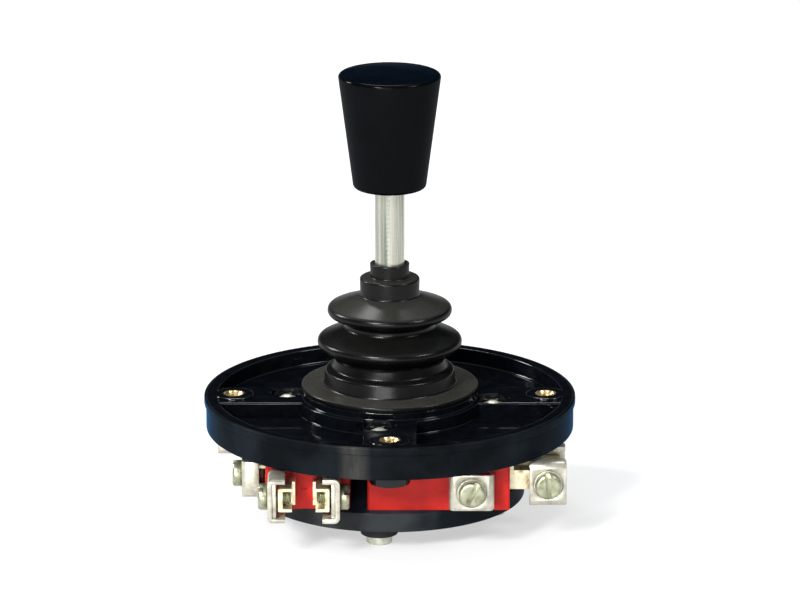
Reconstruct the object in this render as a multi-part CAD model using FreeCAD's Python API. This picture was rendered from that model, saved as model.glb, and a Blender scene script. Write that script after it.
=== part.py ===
# Two-axis industrial joystick controller for panel mounting, in millimetres.
# The origin is the centre of the flange's top face, which seats under the panel.
# +Z points up the lever, -Y is the front, +X is to the right.
import FreeCAD
import Part
import math
import os
from FreeCAD import Vector

os.makedirs("parts", exist_ok=True)

# Flange housing
flange_r = 50.0
lip_height = 2.0
lip_overhang = 0.5
rim_depth = 9.0
rim_wall = 3.5
recess_depth = 4.2
edge_break = 0.4
hub_wall = 8.5
hub_top_z = 1.5
hub_step_width = 1.3
hub_step_depth = 0.6
rib_width = 14.5
rib_count = 4

# Panel fixing inserts
insert_pitch_r = 42.0
insert_boss_r = 5.4
insert_boss_depth = 11.8
insert_r = 2.8
insert_hole_r = 2.0
insert_length = 8.0
insert_groove_depth = 0.35

# Fits and thicknesses shared by several pieces
thread_gap = 0.02
running_gap = 0.04
screw_hole_gap = 0.2
touch_gap = 0.05
overcut = 1.0

# Tie screws, which run up through the bottom plate, the blocks and the flange
tie_u = -2.8
tie_v = 27.7
m4_r = 2.0
m4_head_r = 3.5
m4_head_height = 2.5
m4_slot_width = 1.1
m4_slot_depth = 1.2
tie_boss_r = 5.0
tie_boss_drop = 2.85
nut_across_flats = 7.0
nut_height = 2.4
nut_pocket_r = 4.3
nut_pocket_depth = 5.0
tie_tip_z = -1.4
tie_dome_height = 0.5
tie_dome_run = 0.7
nut_chamfer_run = 0.4
nut_chamfer_base = 1.4

# Contact blocks, as seen from the front: u runs right, v runs towards the viewer
block_height = 13.4
block_u0 = -6.0
block_u1 = 31.8
block_v0 = 10.5
block_v1 = 33.0
block_wall = 2.0
block_end_wall = 1.8
block_floor = 1.4
block_corner_r = 0.8
fork_recess_depth = 4.5
nose_v0 = 19.5
nose_v1 = 25.8
nose_mark_r = 1.4
nose_mark_depth = 0.4
column_u1 = 1.5
column_v0 = 23.5

# Bottom plate
plate_r = 36.4
plate_thickness = 5.25
plate_floor = 2.6
plate_rim = 2.4
plate_edge = 0.6

# Screw terminals: n is the height above the face that a terminal stands on
terminal_drop = 6.7
face_terminal_u = 21.6
fork_terminal_u = 42.0
strip_thickness = 0.8
channel_height = 6.4
channel_width = 7.0
channel_depth = 3.6
tapped_plate = 1.2
leg_height = 4.0
leg_reach = 5.0
neck_flange_gap = 1.2
lead_turn_gap = 1.2
clamp_width = 9.8
clamp_length = 12.0
clamp_stand = 6.4
clamp_thickness = 1.2
clamp_lip = 4.6
clamp_bend_r = 1.6
clamp_corner = 1.3
clamp_hole_r = 2.3
pad_thickness = 1.1
pad_inset = 0.6
terminal_shank_end = 0.3

# Gimbal and lever
pivot_z = -2.5
tilt_limit = 15.0
ring_hub_gap = 2.0
ring_wall = 4.0
ring_bore_gap = 1.5
ring_height = 4.0
pin_r = 1.5
pin_engagement = 5.0
bush_wall = 1.0
bush_end_gap = 0.4
lever_hub_r = 7.5
lever_hub_height = 8.0
inner_bush_head = 0.8
inner_bush_head_r = 3.2
inner_bush_inset = 0.7
rod_r = 4.0
rod_chamfer = 0.6
stem_r = 3.0
stem_end_below_pivot = 17.0
stem_tip_r = 0.8
stem_spigot_r = 2.0
stem_spigot_length = 6.0

# Knob
knob_bottom_z = 57.4
knob_height = 31.8
knob_top_r = 13.8
knob_bottom_r = 9.7
knob_crown = 0.6
knob_top_edge_r = 0.9
knob_bottom_edge_r = 1.2
knob_insert_r = 6.2
knob_insert_length = 16.0
knob_thread_length = 14.0

# Sliders, plungers and contact bridges
slider_thickness = 2.4
x_slider_z = -13.4
slider_stack_gap = 0.6
slot_half_width = 4.0
x_slot_half_length = 6.8
y_slot_half_length = 7.8
slider_side_wall = 2.2
slider_end_wall = 1.8
slider_corner_r = 1.2
plunger_r = 1.5
bridge_v = 18.1
bridge_thickness = 0.8
bridge_half_length = 3.8
bridge_height = 4.4
button_r = 0.7
button_height = 0.6
button_u = 3.0
plunger_tail = 1.1
spring_outer_r = 2.2
spring_inner_r = 1.7
contact_tab_u = 2.4
contact_limit_gap = 0.16

# Rubber boot
boot_wall = 1.3
boot_neck_r = 5.3
boot_neck_top = 36.5
boot_neck_bottom = 32.6
boot_collar_r = 8.0
boot_collar_bottom = 27.8
upper_fold_r = 16.7
upper_fold_z = 23.7
upper_waist_r = 11.8
upper_waist_z = 19.0
lower_fold_r = 19.4
lower_fold_z = 14.85
lower_waist_r = 14.8
lower_waist_z = 10.0
fold_rim = 2.2
boot_step_r = 17.3
boot_step_z = 7.2
boot_base_overhang = 0.3
boot_base_thickness = 1.5
boot_mouth_inset = 0.4
boot_seat_step = 0.2

# Levels that follow from the sizes above
ring_inner_r = lever_hub_r + ring_hub_gap
ring_outer_r = ring_inner_r + ring_wall
hub_bore_r = ring_outer_r + ring_bore_gap
hub_r = hub_bore_r + hub_wall
hub_step_r = hub_r + hub_step_width
outer_pin_end = hub_bore_r + pin_engagement
boot_base_r = hub_r + boot_base_overhang
boot_mouth_r = hub_bore_r - boot_mouth_inset
flange_under_z = -rim_depth
block_under_z = flange_under_z - block_height
plate_under_z = block_under_z - plate_thickness
tie_seat_z = plate_under_z - tie_boss_drop
terminal_z = flange_under_z - terminal_drop
nut_seat_z = -nut_pocket_depth
y_slider_z = x_slider_z - slider_thickness - slider_stack_gap
slider_travel = math.radians(tilt_limit) * (pivot_z - y_slider_z)
ring_rim_r = flange_r - rim_wall
chamber_u0 = block_u0 + block_end_wall
recess_u = block_u1 - fork_recess_depth
chamber_u1 = recess_u - block_wall
chamber_v0 = block_v0 + block_wall
chamber_v1 = block_v1 - block_wall
pin_bush_r = pin_r + running_gap + bush_wall

BLOCKS = {"front": 0, "right": 90, "back": 180, "left": 270}
SLOT_TURNS = {
    "front": (25, -4, 60),
    "right": (-30, 75, 15),
    "back": (50, -12, 95),
    "left": (10, 40, -55),
}


def save(name, solids):
    """Write one node, of one solid or a group of like solids."""
    solids = solids if isinstance(solids, list) else [solids]
    shape = solids[0] if len(solids) == 1 else Part.makeCompound(solids)
    shape.exportStep("parts/" + name + ".step")


def turned(shape, degrees):
    """A copy of the shape turned about the lever's upright axis."""
    copy = shape.copy()
    copy.rotate(Vector(0, 0, 0), Vector(0, 0, 1), degrees)
    return copy


def around(shape, count=4):
    """Copies of the shape spaced evenly about the upright axis."""
    return [turned(shape, 360.0 / count * index) for index in range(count)]


def moved(shape, x, y, z):
    copy = shape.copy()
    copy.translate(Vector(x, y, z))
    return copy


def upright(radius, z0, z1, x=0.0, y=0.0):
    """A round bar that stands along Z from z0 to z1."""
    return Part.makeCylinder(radius, z1 - z0, Vector(x, y, z0))


def bar_x(radius, x0, x1, z=0.0, y=0.0):
    """A round bar along X."""
    return Part.makeCylinder(radius, x1 - x0, Vector(x0, y, z), Vector(1, 0, 0))


def bar_front(radius, n0, n1, x=0.0, z=0.0):
    """A round bar along the front direction, from n0 to n1 towards the viewer."""
    return Part.makeCylinder(radius, n1 - n0, Vector(x, -n0, z), Vector(0, -1, 0))


def plan_box(u0, u1, v0, v1, z0, z1):
    """A box given by its plan, u to the right and v towards the viewer."""
    return Part.makeBox(u1 - u0, v1 - v0, z1 - z0, Vector(u0, -v1, z0))


def revolve(points):
    """A turned body from its half section, as (radius, z) points."""
    wire = Part.makePolygon([Vector(r, 0, z) for r, z in points] + [Vector(points[0][0], 0, points[0][1])])
    return Part.Face(wire).revolve(Vector(0, 0, 0), Vector(0, 0, 1), 360)


def revolve_edges(edges):
    """A turned body from the edges of its closed half section."""
    return Part.Face(Part.Wire(edges)).revolve(Vector(0, 0, 0), Vector(0, 0, 1), 360)


def line(start, end):
    return Part.LineSegment(Vector(start[0], 0, start[1]), Vector(end[0], 0, end[1])).toShape()


def arc(start, middle, end):
    a, b, c = [Vector(p[0], 0, p[1]) for p in (start, middle, end)]
    return Part.Arc(a, b, c).toShape()


def edges_along(shape, direction, test):
    """Straight edges that run along a direction and whose midpoint passes the test."""
    picked = []
    for edge in shape.Edges:
        if len(edge.Vertexes) != 2 or not isinstance(edge.Curve, Part.Line):
            continue
        run = edge.Vertexes[1].Point - edge.Vertexes[0].Point
        if run.Length > 1e-6 and abs(abs(run.normalize().dot(direction)) - 1) < 1e-6:
            if test(edge.CenterOfMass):
                picked.append(edge)
    return picked


def make_flange_housing():
    """The round moulding: rim, recessed floor, hub, ribs, insert bosses and nut pockets."""
    skirt_r = flange_r - lip_overhang
    profile = [
        (hub_bore_r, flange_under_z),
        (skirt_r, flange_under_z),
        (skirt_r, -lip_height),
        (flange_r, -lip_height),
        (flange_r, -edge_break),
        (flange_r - edge_break, 0),
        (ring_rim_r, 0),
        (ring_rim_r, -recess_depth),
        (hub_step_r, -recess_depth),
        (hub_step_r, -hub_step_depth),
        (hub_r, -hub_step_depth),
        (hub_r, hub_top_z),
        (hub_bore_r, hub_top_z),
    ]
    body = revolve(profile)
    rib = Part.makeBox(ring_rim_r + rim_wall / 2 - hub_r, rib_width, recess_depth - hub_step_depth,
                       Vector(hub_r - touch_gap, -rib_width / 2, -recess_depth))
    rib = rib.common(upright(ring_rim_r + rim_wall / 2, -recess_depth, 0))
    boss = upright(insert_boss_r, -insert_boss_depth, 0, insert_pitch_r)
    body = body.fuse(around(rib, rib_count) + around(boss))
    bush_seat = bar_x(pin_bush_r, hub_bore_r - overcut, outer_pin_end + bush_end_gap, pivot_z)
    cuts = around(upright(insert_r, -insert_length, overcut, insert_pitch_r))
    cuts += around(upright(nut_pocket_r, nut_seat_z, 0, tie_u, -tie_v))
    cuts += around(upright(m4_r + screw_hole_gap, flange_under_z - overcut, 0, tie_u, -tie_v))
    cuts += around(bush_seat, 2)
    return body.cut(cuts).removeSplitter()


def make_bottom_plate():
    """The dished round plate that closes the blocks from below."""
    profile = [
        (0, block_under_z),
        (plate_r - edge_break, block_under_z),
        (plate_r, block_under_z - edge_break),
        (plate_r, plate_under_z + plate_edge),
        (plate_r - plate_edge, plate_under_z),
        (plate_r - plate_rim, plate_under_z),
        (plate_r - plate_rim, block_under_z - plate_floor),
        (0, block_under_z - plate_floor),
    ]
    body = revolve(profile)
    boss = upright(tie_boss_r, tie_seat_z, block_under_z - plate_floor / 2, tie_u, -tie_v)
    rib = plan_box(-strip_thickness, strip_thickness, 0, plate_r - plate_rim / 2,
                   plate_under_z + plate_edge, block_under_z - plate_floor / 2)
    body = body.fuse(around(boss) + around(turned(rib, 45)))
    hole = upright(m4_r + screw_hole_gap, tie_seat_z - overcut, block_under_z + overcut, tie_u, -tie_v)
    return body.cut(around(hole)).removeSplitter()


def hexagon(across_flats, z0, z1, x, y):
    corner = across_flats / math.sqrt(3)
    points = []
    for index in range(7):
        angle = math.radians(60 * index)
        points.append(Vector(x + corner * math.cos(angle), y + corner * math.sin(angle), z0))
    return Part.Face(Part.makePolygon(points)).extrude(Vector(0, 0, z1 - z0))


def make_tie_screw():
    """An M4 cheese head screw, head down, with a domed end above its nut."""
    head = upright(m4_head_r, tie_seat_z - m4_head_height, tie_seat_z, tie_u, -tie_v)
    slot = Part.makeBox(3 * m4_head_r, m4_slot_width, m4_slot_depth,
                        Vector(tie_u - 1.5 * m4_head_r, -tie_v - m4_slot_width / 2,
                               tie_seat_z - m4_head_height))
    dome_start = tie_tip_z - tie_dome_height
    shank = upright(m4_r, tie_seat_z, dome_start, tie_u, -tie_v)
    dome = Part.makeCone(m4_r, m4_r - tie_dome_run, tie_dome_height, Vector(tie_u, -tie_v, dome_start))
    return head.cut(slot).fuse([shank, dome]).removeSplitter()


def make_tie_nut():
    """An M4 hexagon nut with chamfered corners, down in its pocket in the rib."""
    top = nut_seat_z + nut_height
    body = hexagon(nut_across_flats, nut_seat_z, top, tie_u, -tie_v)
    corner = nut_across_flats / math.sqrt(3)
    turned_limit = Part.makeCone(corner + nut_chamfer_base, corner - nut_chamfer_run, nut_height,
                                 Vector(tie_u, -tie_v, nut_seat_z))
    bore = upright(m4_r + thread_gap, nut_seat_z - overcut, top + overcut, tie_u, -tie_v)
    return body.common(turned_limit).cut(bore).removeSplitter()


def make_insert():
    """A brass insert with an M4 hole and a knurl groove round its middle."""
    body = upright(insert_r, -insert_length, 0, insert_pitch_r)
    hole = upright(insert_hole_r, -insert_length - overcut, overcut, insert_pitch_r)
    groove = upright(insert_r + overcut, -0.6 * insert_length, -0.45 * insert_length, insert_pitch_r)
    groove = groove.cut(upright(insert_r - insert_groove_depth, -insert_length, 0, insert_pitch_r))
    return body.cut([hole, groove])


def make_contact_block(plunger_z):
    """A contact block as it lies at the front: an open tub with a nose between two end recesses."""
    body = plan_box(block_u0, block_u1, block_v0, block_v1, block_under_z, flange_under_z)
    corners = edges_along(body, Vector(0, 0, 1), lambda p: True)
    body = body.makeFillet(block_corner_r, corners)
    chamber = plan_box(chamber_u0, chamber_u1, chamber_v0, chamber_v1,
                       block_under_z + block_floor, flange_under_z + overcut)
    column = plan_box(block_u0, column_u1, column_v0, block_v1, block_under_z, flange_under_z + overcut)
    mark = bar_x(nose_mark_r, block_u1 - nose_mark_depth, block_u1 + overcut,
                 terminal_z, -(nose_v0 + nose_v1) / 2)
    cuts = [chamber.cut(column), mark]
    for v0, v1 in ((chamber_v0, nose_v0), (nose_v1, chamber_v1)):
        cuts.append(plan_box(recess_u, block_u1 + overcut, v0, v1,
                             block_under_z - overcut, flange_under_z + overcut))
    cuts.append(upright(m4_r + screw_hole_gap, block_under_z - overcut, flange_under_z + overcut,
                        tie_u, -tie_v))
    cuts.append(bar_front(plunger_r + running_gap, block_v0 - overcut, chamber_v0 + overcut, 0, plunger_z))
    return body.cut(cuts + strip_slots()).removeSplitter()


def strip_slots():
    """The slots in a block's walls that its three terminal strips pass through."""
    half = channel_height / 2
    t = strip_thickness
    leg_u = face_terminal_u - channel_width / 2
    face = plan_box(leg_u, leg_u + t, chamber_v1 - overcut, block_v1 + overcut,
                    terminal_z - leg_height / 2, terminal_z + leg_height / 2)
    start = chamber_u1 - overcut
    end = block_u1 + overcut
    outer = plan_box(start, end, nose_v1 - t, nose_v1, terminal_z - half, terminal_z + half)
    inner = plan_box(start, end, nose_v0, nose_v0 + t, terminal_z - half, terminal_z + half)
    return [face, outer, inner]


def channel():
    """The bent bracket of a terminal: a tapped plate on two legs, centred on its screw."""
    half = channel_height / 2
    w = channel_width / 2
    t = strip_thickness
    plate = plan_box(-w, w, channel_depth - tapped_plate, channel_depth, -half, half)
    top = plan_box(-w, w, 0, channel_depth, half - t, half)
    bottom = plan_box(-w, w, 0, channel_depth, -half, -half + t)
    body = plate.fuse([top, bottom])
    outer_bends = edges_along(body, Vector(1, 0, 0),
                              lambda p: p.y < -channel_depth + 0.1 and abs(abs(p.z) - half) < 0.1)
    body = body.makeFillet(strip_thickness / 2, outer_bends)
    return body.cut(bar_front(m4_r + thread_gap, -overcut, channel_depth + overcut))


def face_strip():
    """The common terminal on the block's face, with its leg through the wall."""
    u0 = -channel_width / 2
    leg = plan_box(u0, u0 + strip_thickness, -leg_reach, channel_depth - tapped_plate / 2,
                   -leg_height / 2, leg_height / 2)
    return channel().fuse(leg).removeSplitter()


def fork_strip(tab_n):
    """A terminal beyond the nose: bracket, jog, flanged neck, and the lead to its fixed contact.

    Heights are measured out from the nose's side, and the contact tab starts at tab_n.
    """
    half = channel_height / 2
    t = strip_thickness
    neck_end = -channel_width / 2
    turn_start = bridge_half_length + lead_turn_gap - fork_terminal_u
    flange_start = block_u1 + neck_flange_gap - fork_terminal_u
    jog = plan_box(neck_end, neck_end + t, -t, channel_depth - tapped_plate / 2, -half, half)
    neck = plan_box(turn_start, neck_end + t, -t, 0, -half, half)
    flange = plan_box(flange_start, neck_end + t, -t, channel_depth, half - t, half)
    turn = plan_box(turn_start, turn_start + t, min(tab_n, -t), max(tab_n + t, 0), -half, half)
    tab = plan_box(contact_tab_u - fork_terminal_u, turn_start + t, tab_n, tab_n + t, -half, half)
    return channel().fuse([jog, neck, flange, turn, tab]).removeSplitter()


def make_clamp():
    """The saddle clamp: a plate with two bent lips, two snipped corners and a pad that presses the wire."""
    half = clamp_length / 2
    w = clamp_width / 2
    t = clamp_thickness
    lip_end = clamp_stand - clamp_lip
    plate = plan_box(-w, w, clamp_stand - t, clamp_stand, -half, half)
    lips = [plan_box(-w, w, lip_end, clamp_stand, low, low + t) for low in (-half, half - t)]
    body = plate.fuse(lips).removeSplitter()
    bends = edges_along(body, Vector(1, 0, 0),
                        lambda p: p.y < -clamp_stand + 0.1 and abs(abs(p.z) - half) < 0.1)
    body = body.makeFillet(clamp_bend_r, bends)
    for side in (-1, 1):
        corner = Part.makeBox(clamp_corner * 2, clamp_stand + overcut, clamp_corner * 2,
                              Vector(-clamp_corner, -clamp_stand - overcut / 2, -clamp_corner))
        corner.rotate(Vector(0, 0, 0), Vector(0, 1, 0), 45)
        corner.translate(Vector(w + clamp_corner / 2, 0, side * (half + clamp_corner / 2)))
        body = body.cut(corner)
    pad_half = half - t
    pad = plan_box(pad_inset - w, w - pad_inset, clamp_stand - t - pad_thickness, clamp_stand - t,
                   -pad_half, pad_half)
    return body.fuse(pad).cut(bar_front(clamp_hole_r, 0, clamp_stand + overcut)).removeSplitter()


def make_terminal_screw(turn):
    """An M4 cheese head screw whose slot is turned from upright by so many degrees."""
    top = clamp_stand + m4_head_height
    head = bar_front(m4_head_r, clamp_stand, top)
    rim = [edge for edge in head.Edges if abs(edge.CenterOfMass.y + top) < 1e-6]
    head = head.makeFillet(edge_break, rim)
    slot = plan_box(-m4_slot_width / 2, m4_slot_width / 2, top - m4_slot_depth, top + overcut,
                    -m4_head_r - overcut, m4_head_r + overcut)
    slot.rotate(Vector(0, 0, 0), Vector(0, 1, 0), turn)
    shank = bar_front(m4_r, terminal_shank_end, clamp_stand)
    return head.cut(slot).fuse(shank).removeSplitter()


def seated(shape, station):
    """Place a terminal piece at the face, the outer fork or the inner fork of a block."""
    if station == "face":
        return moved(shape, face_terminal_u, -block_v1, terminal_z)
    if station == "outer":
        return moved(shape, fork_terminal_u, -nose_v1, terminal_z)
    mirrored = shape.mirror(Vector(0, 0, 0), Vector(0, 1, 0))
    return moved(mirrored, fork_terminal_u, -nose_v0, terminal_z)


def make_spring(plunger_z):
    """A coiled return spring's envelope, from a bridge to the block's column."""
    start = bridge_v + bridge_thickness / 2 + touch_gap
    tube = bar_front(spring_outer_r, start, column_v0, 0, plunger_z)
    return tube.cut(bar_front(spring_inner_r, start - overcut, column_v0 + overcut, 0, plunger_z))


def make_boot():
    """The bellows: neck on the rod, collar, two folds, step and base disc."""
    w = boot_wall
    h = fold_rim / 2
    base_top = hub_top_z + boot_base_thickness
    rod_fit = rod_r + touch_gap
    outside = [
        (rod_fit, boot_neck_top),
        (boot_neck_r, boot_neck_top),
        (boot_neck_r, boot_neck_bottom),
        (boot_collar_r, boot_neck_bottom),
        (boot_collar_r, boot_collar_bottom),
        (upper_fold_r - h, upper_fold_z + h),
        (upper_fold_r, upper_fold_z + h / 2),
        (upper_fold_r, upper_fold_z - h),
        (upper_waist_r, upper_waist_z),
        (lower_fold_r - h, lower_fold_z + h),
        (lower_fold_r, lower_fold_z + h / 2),
        (lower_fold_r, lower_fold_z - h),
        (lower_waist_r, lower_waist_z),
        (boot_step_r, boot_step_z),
        (boot_step_r, base_top),
        (boot_base_r, base_top),
        (boot_base_r, hub_top_z),
    ]
    inside = [
        (boot_mouth_r, hub_top_z),
        (boot_mouth_r, base_top - boot_seat_step),
        (boot_step_r - w, base_top - boot_seat_step),
        (boot_step_r - w, boot_step_z - w),
        (lower_waist_r - w, lower_waist_z),
        (lower_fold_r - 2 * w, lower_fold_z - h / 2),
        (lower_fold_r - 2 * w, lower_fold_z),
        (upper_waist_r - w, upper_waist_z),
        (upper_fold_r - 2 * w, upper_fold_z - h / 2),
        (upper_fold_r - 2 * w, upper_fold_z),
        (boot_collar_r - w, boot_collar_bottom - w / 2),
        (boot_collar_r - w, boot_neck_bottom - w),
        (rod_fit, boot_neck_bottom - w),
    ]
    return revolve(outside + inside)


def make_outer_bush():
    """A plain bush in the hub, which carries an outer gimbal pin."""
    end = outer_pin_end + bush_end_gap
    body = bar_x(pin_bush_r, hub_bore_r, end, pivot_z)
    return body.cut(bar_x(pin_r + running_gap, hub_bore_r - overcut, end + overcut, pivot_z))


def make_gimbal_ring():
    """The ring between the two tilt axes, drilled for its four pins."""
    z0 = pivot_z - ring_height / 2
    opening = upright(ring_inner_r, z0 - overcut, z0 + ring_height + overcut)
    body = upright(ring_outer_r, z0, z0 + ring_height).cut(opening)
    rims = [edge for edge in body.Edges if abs(edge.BoundBox.XMax - ring_outer_r) < 0.01
            and edge.BoundBox.ZLength < 0.01]
    body = body.makeChamfer(edge_break, rims)
    pin_hole = bar_x(pin_r, ring_inner_r - overcut, ring_outer_r + overcut, pivot_z)
    return body.cut(around(pin_hole))


def make_inner_bush():
    """A headed bush in the lever's hub, which runs on an inner gimbal pin."""
    start = rod_r + inner_bush_inset
    body = bar_x(pin_bush_r, start, lever_hub_r, pivot_z)
    head = bar_x(inner_bush_head_r, lever_hub_r, lever_hub_r + inner_bush_head, pivot_z)
    bore = bar_x(pin_r + running_gap, start - overcut, ring_inner_r, pivot_z)
    return turned(body.fuse(head).cut(bore), 90)


def make_lever_hub():
    """The hub on the lever rod, flat where the bush heads seat."""
    z0 = pivot_z - lever_hub_height / 2
    z1 = z0 + lever_hub_height
    body = upright(lever_hub_r, z0, z1)
    body = body.makeChamfer(2 * edge_break, [e for e in body.Edges if e.BoundBox.ZLength < 0.01])
    rod_hole = upright(rod_r, z0 - overcut, z1 + overcut)
    seat = bar_x(pin_bush_r, rod_r + inner_bush_inset, lever_hub_r + overcut, pivot_z)
    way = bar_x(pin_r + running_gap, 0, lever_hub_r + overcut, pivot_z)
    flat = Part.makeCylinder(inner_bush_head_r + 0.3, 2, Vector(lever_hub_r, 0, pivot_z), Vector(1, 0, 0))
    cuts = [rod_hole]
    for turn in (90, 270):
        cuts += [turned(seat, turn), turned(way, turn), turned(flat, turn)]
    return body.cut(cuts)


def make_lever_rod():
    """The M8 lever, from the gimbal hub up into the knob."""
    z0 = pivot_z - lever_hub_height / 2
    z1 = knob_bottom_z + knob_thread_length
    body = upright(rod_r, z0, z1)
    top = [edge for edge in body.Edges if abs(edge.CenterOfMass.z - z1) < 1e-6]
    body = body.makeChamfer(rod_chamfer, top)
    return body.cut(upright(stem_spigot_r, z0 - overcut, z0 + stem_spigot_length))


def make_stem():
    """The pin below the gimbal, which pushes both sliders."""
    z1 = pivot_z - lever_hub_height / 2
    z0 = pivot_z - stem_end_below_pivot
    body = upright(stem_r, z0, z1)
    tip = [edge for edge in body.Edges if abs(edge.CenterOfMass.z - z0) < 1e-6]
    body = body.makeFillet(stem_tip_r, tip)
    return body.fuse(upright(stem_spigot_r, z1, z1 + stem_spigot_length - touch_gap)).removeSplitter()


def make_knob():
    """The tapered knob, wider at its crowned top, hollow for its threaded insert."""
    top = knob_bottom_z + knob_height
    shoulder = top - knob_crown
    slope = math.atan2(knob_top_r - knob_bottom_r, knob_height - knob_crown)
    b = knob_bottom_edge_r
    e = knob_top_edge_r
    low = (knob_bottom_r + b * math.tan(slope), knob_bottom_z + b)
    high = (knob_top_r - e * math.tan(slope), shoulder - e)
    inset = 1 - math.cos(math.radians(45))
    low_bulge = (low[0] - b * inset, knob_bottom_z + b * inset)
    high_bulge = (high[0] - e * inset, shoulder - e * inset)
    crown_end = (high[0] - e, shoulder)
    crown_r = (crown_end[0] ** 2 + knob_crown ** 2) / (2 * knob_crown)
    crown_mid = (crown_end[0] / 2, top - crown_r + math.sqrt(crown_r ** 2 - crown_end[0] ** 2 / 4))
    cavity_top = knob_bottom_z + knob_insert_length
    edges = [
        line((knob_insert_r, knob_bottom_z), (low[0] - b, knob_bottom_z)),
        arc((low[0] - b, knob_bottom_z), low_bulge, low),
        line(low, high),
        arc(high, high_bulge, crown_end),
        arc(crown_end, crown_mid, (0, top)),
        line((0, top), (0, cavity_top)),
        line((0, cavity_top), (knob_insert_r, cavity_top)),
        line((knob_insert_r, cavity_top), (knob_insert_r, knob_bottom_z)),
    ]
    return revolve_edges(edges)


def make_knob_insert():
    """The brass insert moulded into the knob, tapped for the lever rod."""
    top = knob_bottom_z + knob_insert_length
    body = upright(knob_insert_r, knob_bottom_z, top)
    return body.cut(upright(rod_r + thread_gap, knob_bottom_z - overcut, knob_bottom_z + knob_thread_length))


def make_slider(slot_half_length, z):
    """A slotted frame: the slot lies along Y, and the frame slides along X."""
    z0 = z - slider_thickness / 2
    half_x = slot_half_width + slider_side_wall
    half_y = slot_half_length + slider_end_wall
    body = plan_box(-half_x, half_x, -half_y, half_y, z0, z0 + slider_thickness)
    body = body.makeFillet(slider_corner_r, edges_along(body, Vector(0, 0, 1), lambda p: True))
    slot = plan_box(-slot_half_width, slot_half_width, -slot_half_length, slot_half_length,
                    z0 - overcut, z0 + slider_thickness + overcut)
    slot = slot.makeFillet(slider_corner_r, edges_along(slot, Vector(0, 0, 1), lambda p: True))
    return body.cut(slot)


def make_plunger(z):
    """A plunger along X, from a slider's side to just past its contact bridge."""
    start = slot_half_width + slider_side_wall
    return bar_x(plunger_r, start, bridge_v + bridge_thickness / 2 + plunger_tail, z)


def make_bridge(z):
    """A contact bridge across a plunger, with a button at each end of both faces."""
    half = bridge_thickness / 2
    bar = plan_box(bridge_v - half, bridge_v + half, -bridge_half_length, bridge_half_length,
                   z - bridge_height / 2, z + bridge_height / 2)
    buttons = []
    for side in (-1, 1):
        buttons.append(bar_x(button_r, bridge_v - half - button_height, bridge_v + half + button_height,
                             z, side * button_u))
    hole = bar_x(plunger_r, bridge_v - bridge_thickness, bridge_v + bridge_thickness, z)
    return bar.fuse(buttons).cut(hole).removeSplitter()


# Casing and fasteners
save("flange_housing", make_flange_housing())
save("bottom_plate", make_bottom_plate())
save("mounting_inserts", around(make_insert()))
save("tie_screws", around(make_tie_screw()))
save("tie_nuts", around(make_tie_nut()))

# Contact blocks with their terminals
contact_reach = bridge_thickness / 2 + button_height + slider_travel + contact_limit_gap
strips = {
    "face": face_strip(),
    "outer": fork_strip(bridge_v + contact_reach - nose_v1),
    "inner": fork_strip(nose_v0 - bridge_v + contact_reach),
}
clamp = make_clamp()
face_clamp = clamp.copy()
face_clamp.rotate(Vector(0, 0, 0), Vector(0, 1, 0), 90)
clamps = {"face": face_clamp, "outer": clamp, "inner": clamp}
for side, angle in BLOCKS.items():
    plunger_z = x_slider_z if side in ("left", "right") else y_slider_z
    save(side + "_contact_block", turned(make_contact_block(plunger_z), angle))
    save(side + "_terminal_strips", [turned(seated(strips[name], name), angle) for name in strips])
    save(side + "_wire_clamps", [turned(seated(clamps[name], name), angle) for name in strips])
    screws = [make_terminal_screw(turn) for turn in SLOT_TURNS[side]]
    save(side + "_terminal_screws",
         [turned(seated(screw, name), angle) for screw, name in zip(screws, strips)])
x_spring = make_spring(x_slider_z)
y_spring = make_spring(y_slider_z)
save("x_return_springs", [turned(x_spring, 90), turned(x_spring, 270)])
save("y_return_springs", [y_spring, turned(y_spring, 180)])

# Boot, gimbal and lever
save("boot", make_boot())
save("outer_pivot_bushes", around(make_outer_bush(), 2))
save("gimbal_ring", make_gimbal_ring())
outer_pin = bar_x(pin_r, ring_inner_r, outer_pin_end, pivot_z)
inner_pin = bar_x(pin_r, rod_r + inner_bush_inset, ring_outer_r - edge_break, pivot_z)
save("outer_pivot_pins", around(outer_pin, 2))
save("inner_pivot_pins", [turned(inner_pin, 90), turned(inner_pin, 270)])
save("inner_pivot_bushes", around(make_inner_bush(), 2))
save("lever_hub", make_lever_hub())
save("lever_rod", make_lever_rod())
save("actuator_stem", make_stem())
save("knob", make_knob())
save("knob_insert", make_knob_insert())

# Sliders with their plungers and bridges
save("x_slider", make_slider(x_slot_half_length, x_slider_z))
save("x_plungers", around(make_plunger(x_slider_z), 2))
save("x_contact_bridges", around(make_bridge(x_slider_z), 2))
save("y_slider", turned(make_slider(y_slot_half_length, y_slider_z), 90))
save("y_plungers", [turned(make_plunger(y_slider_z), angle) for angle in (90, 270)])
save("y_contact_bridges", [turned(make_bridge(y_slider_z), angle) for angle in (90, 270)])
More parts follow.
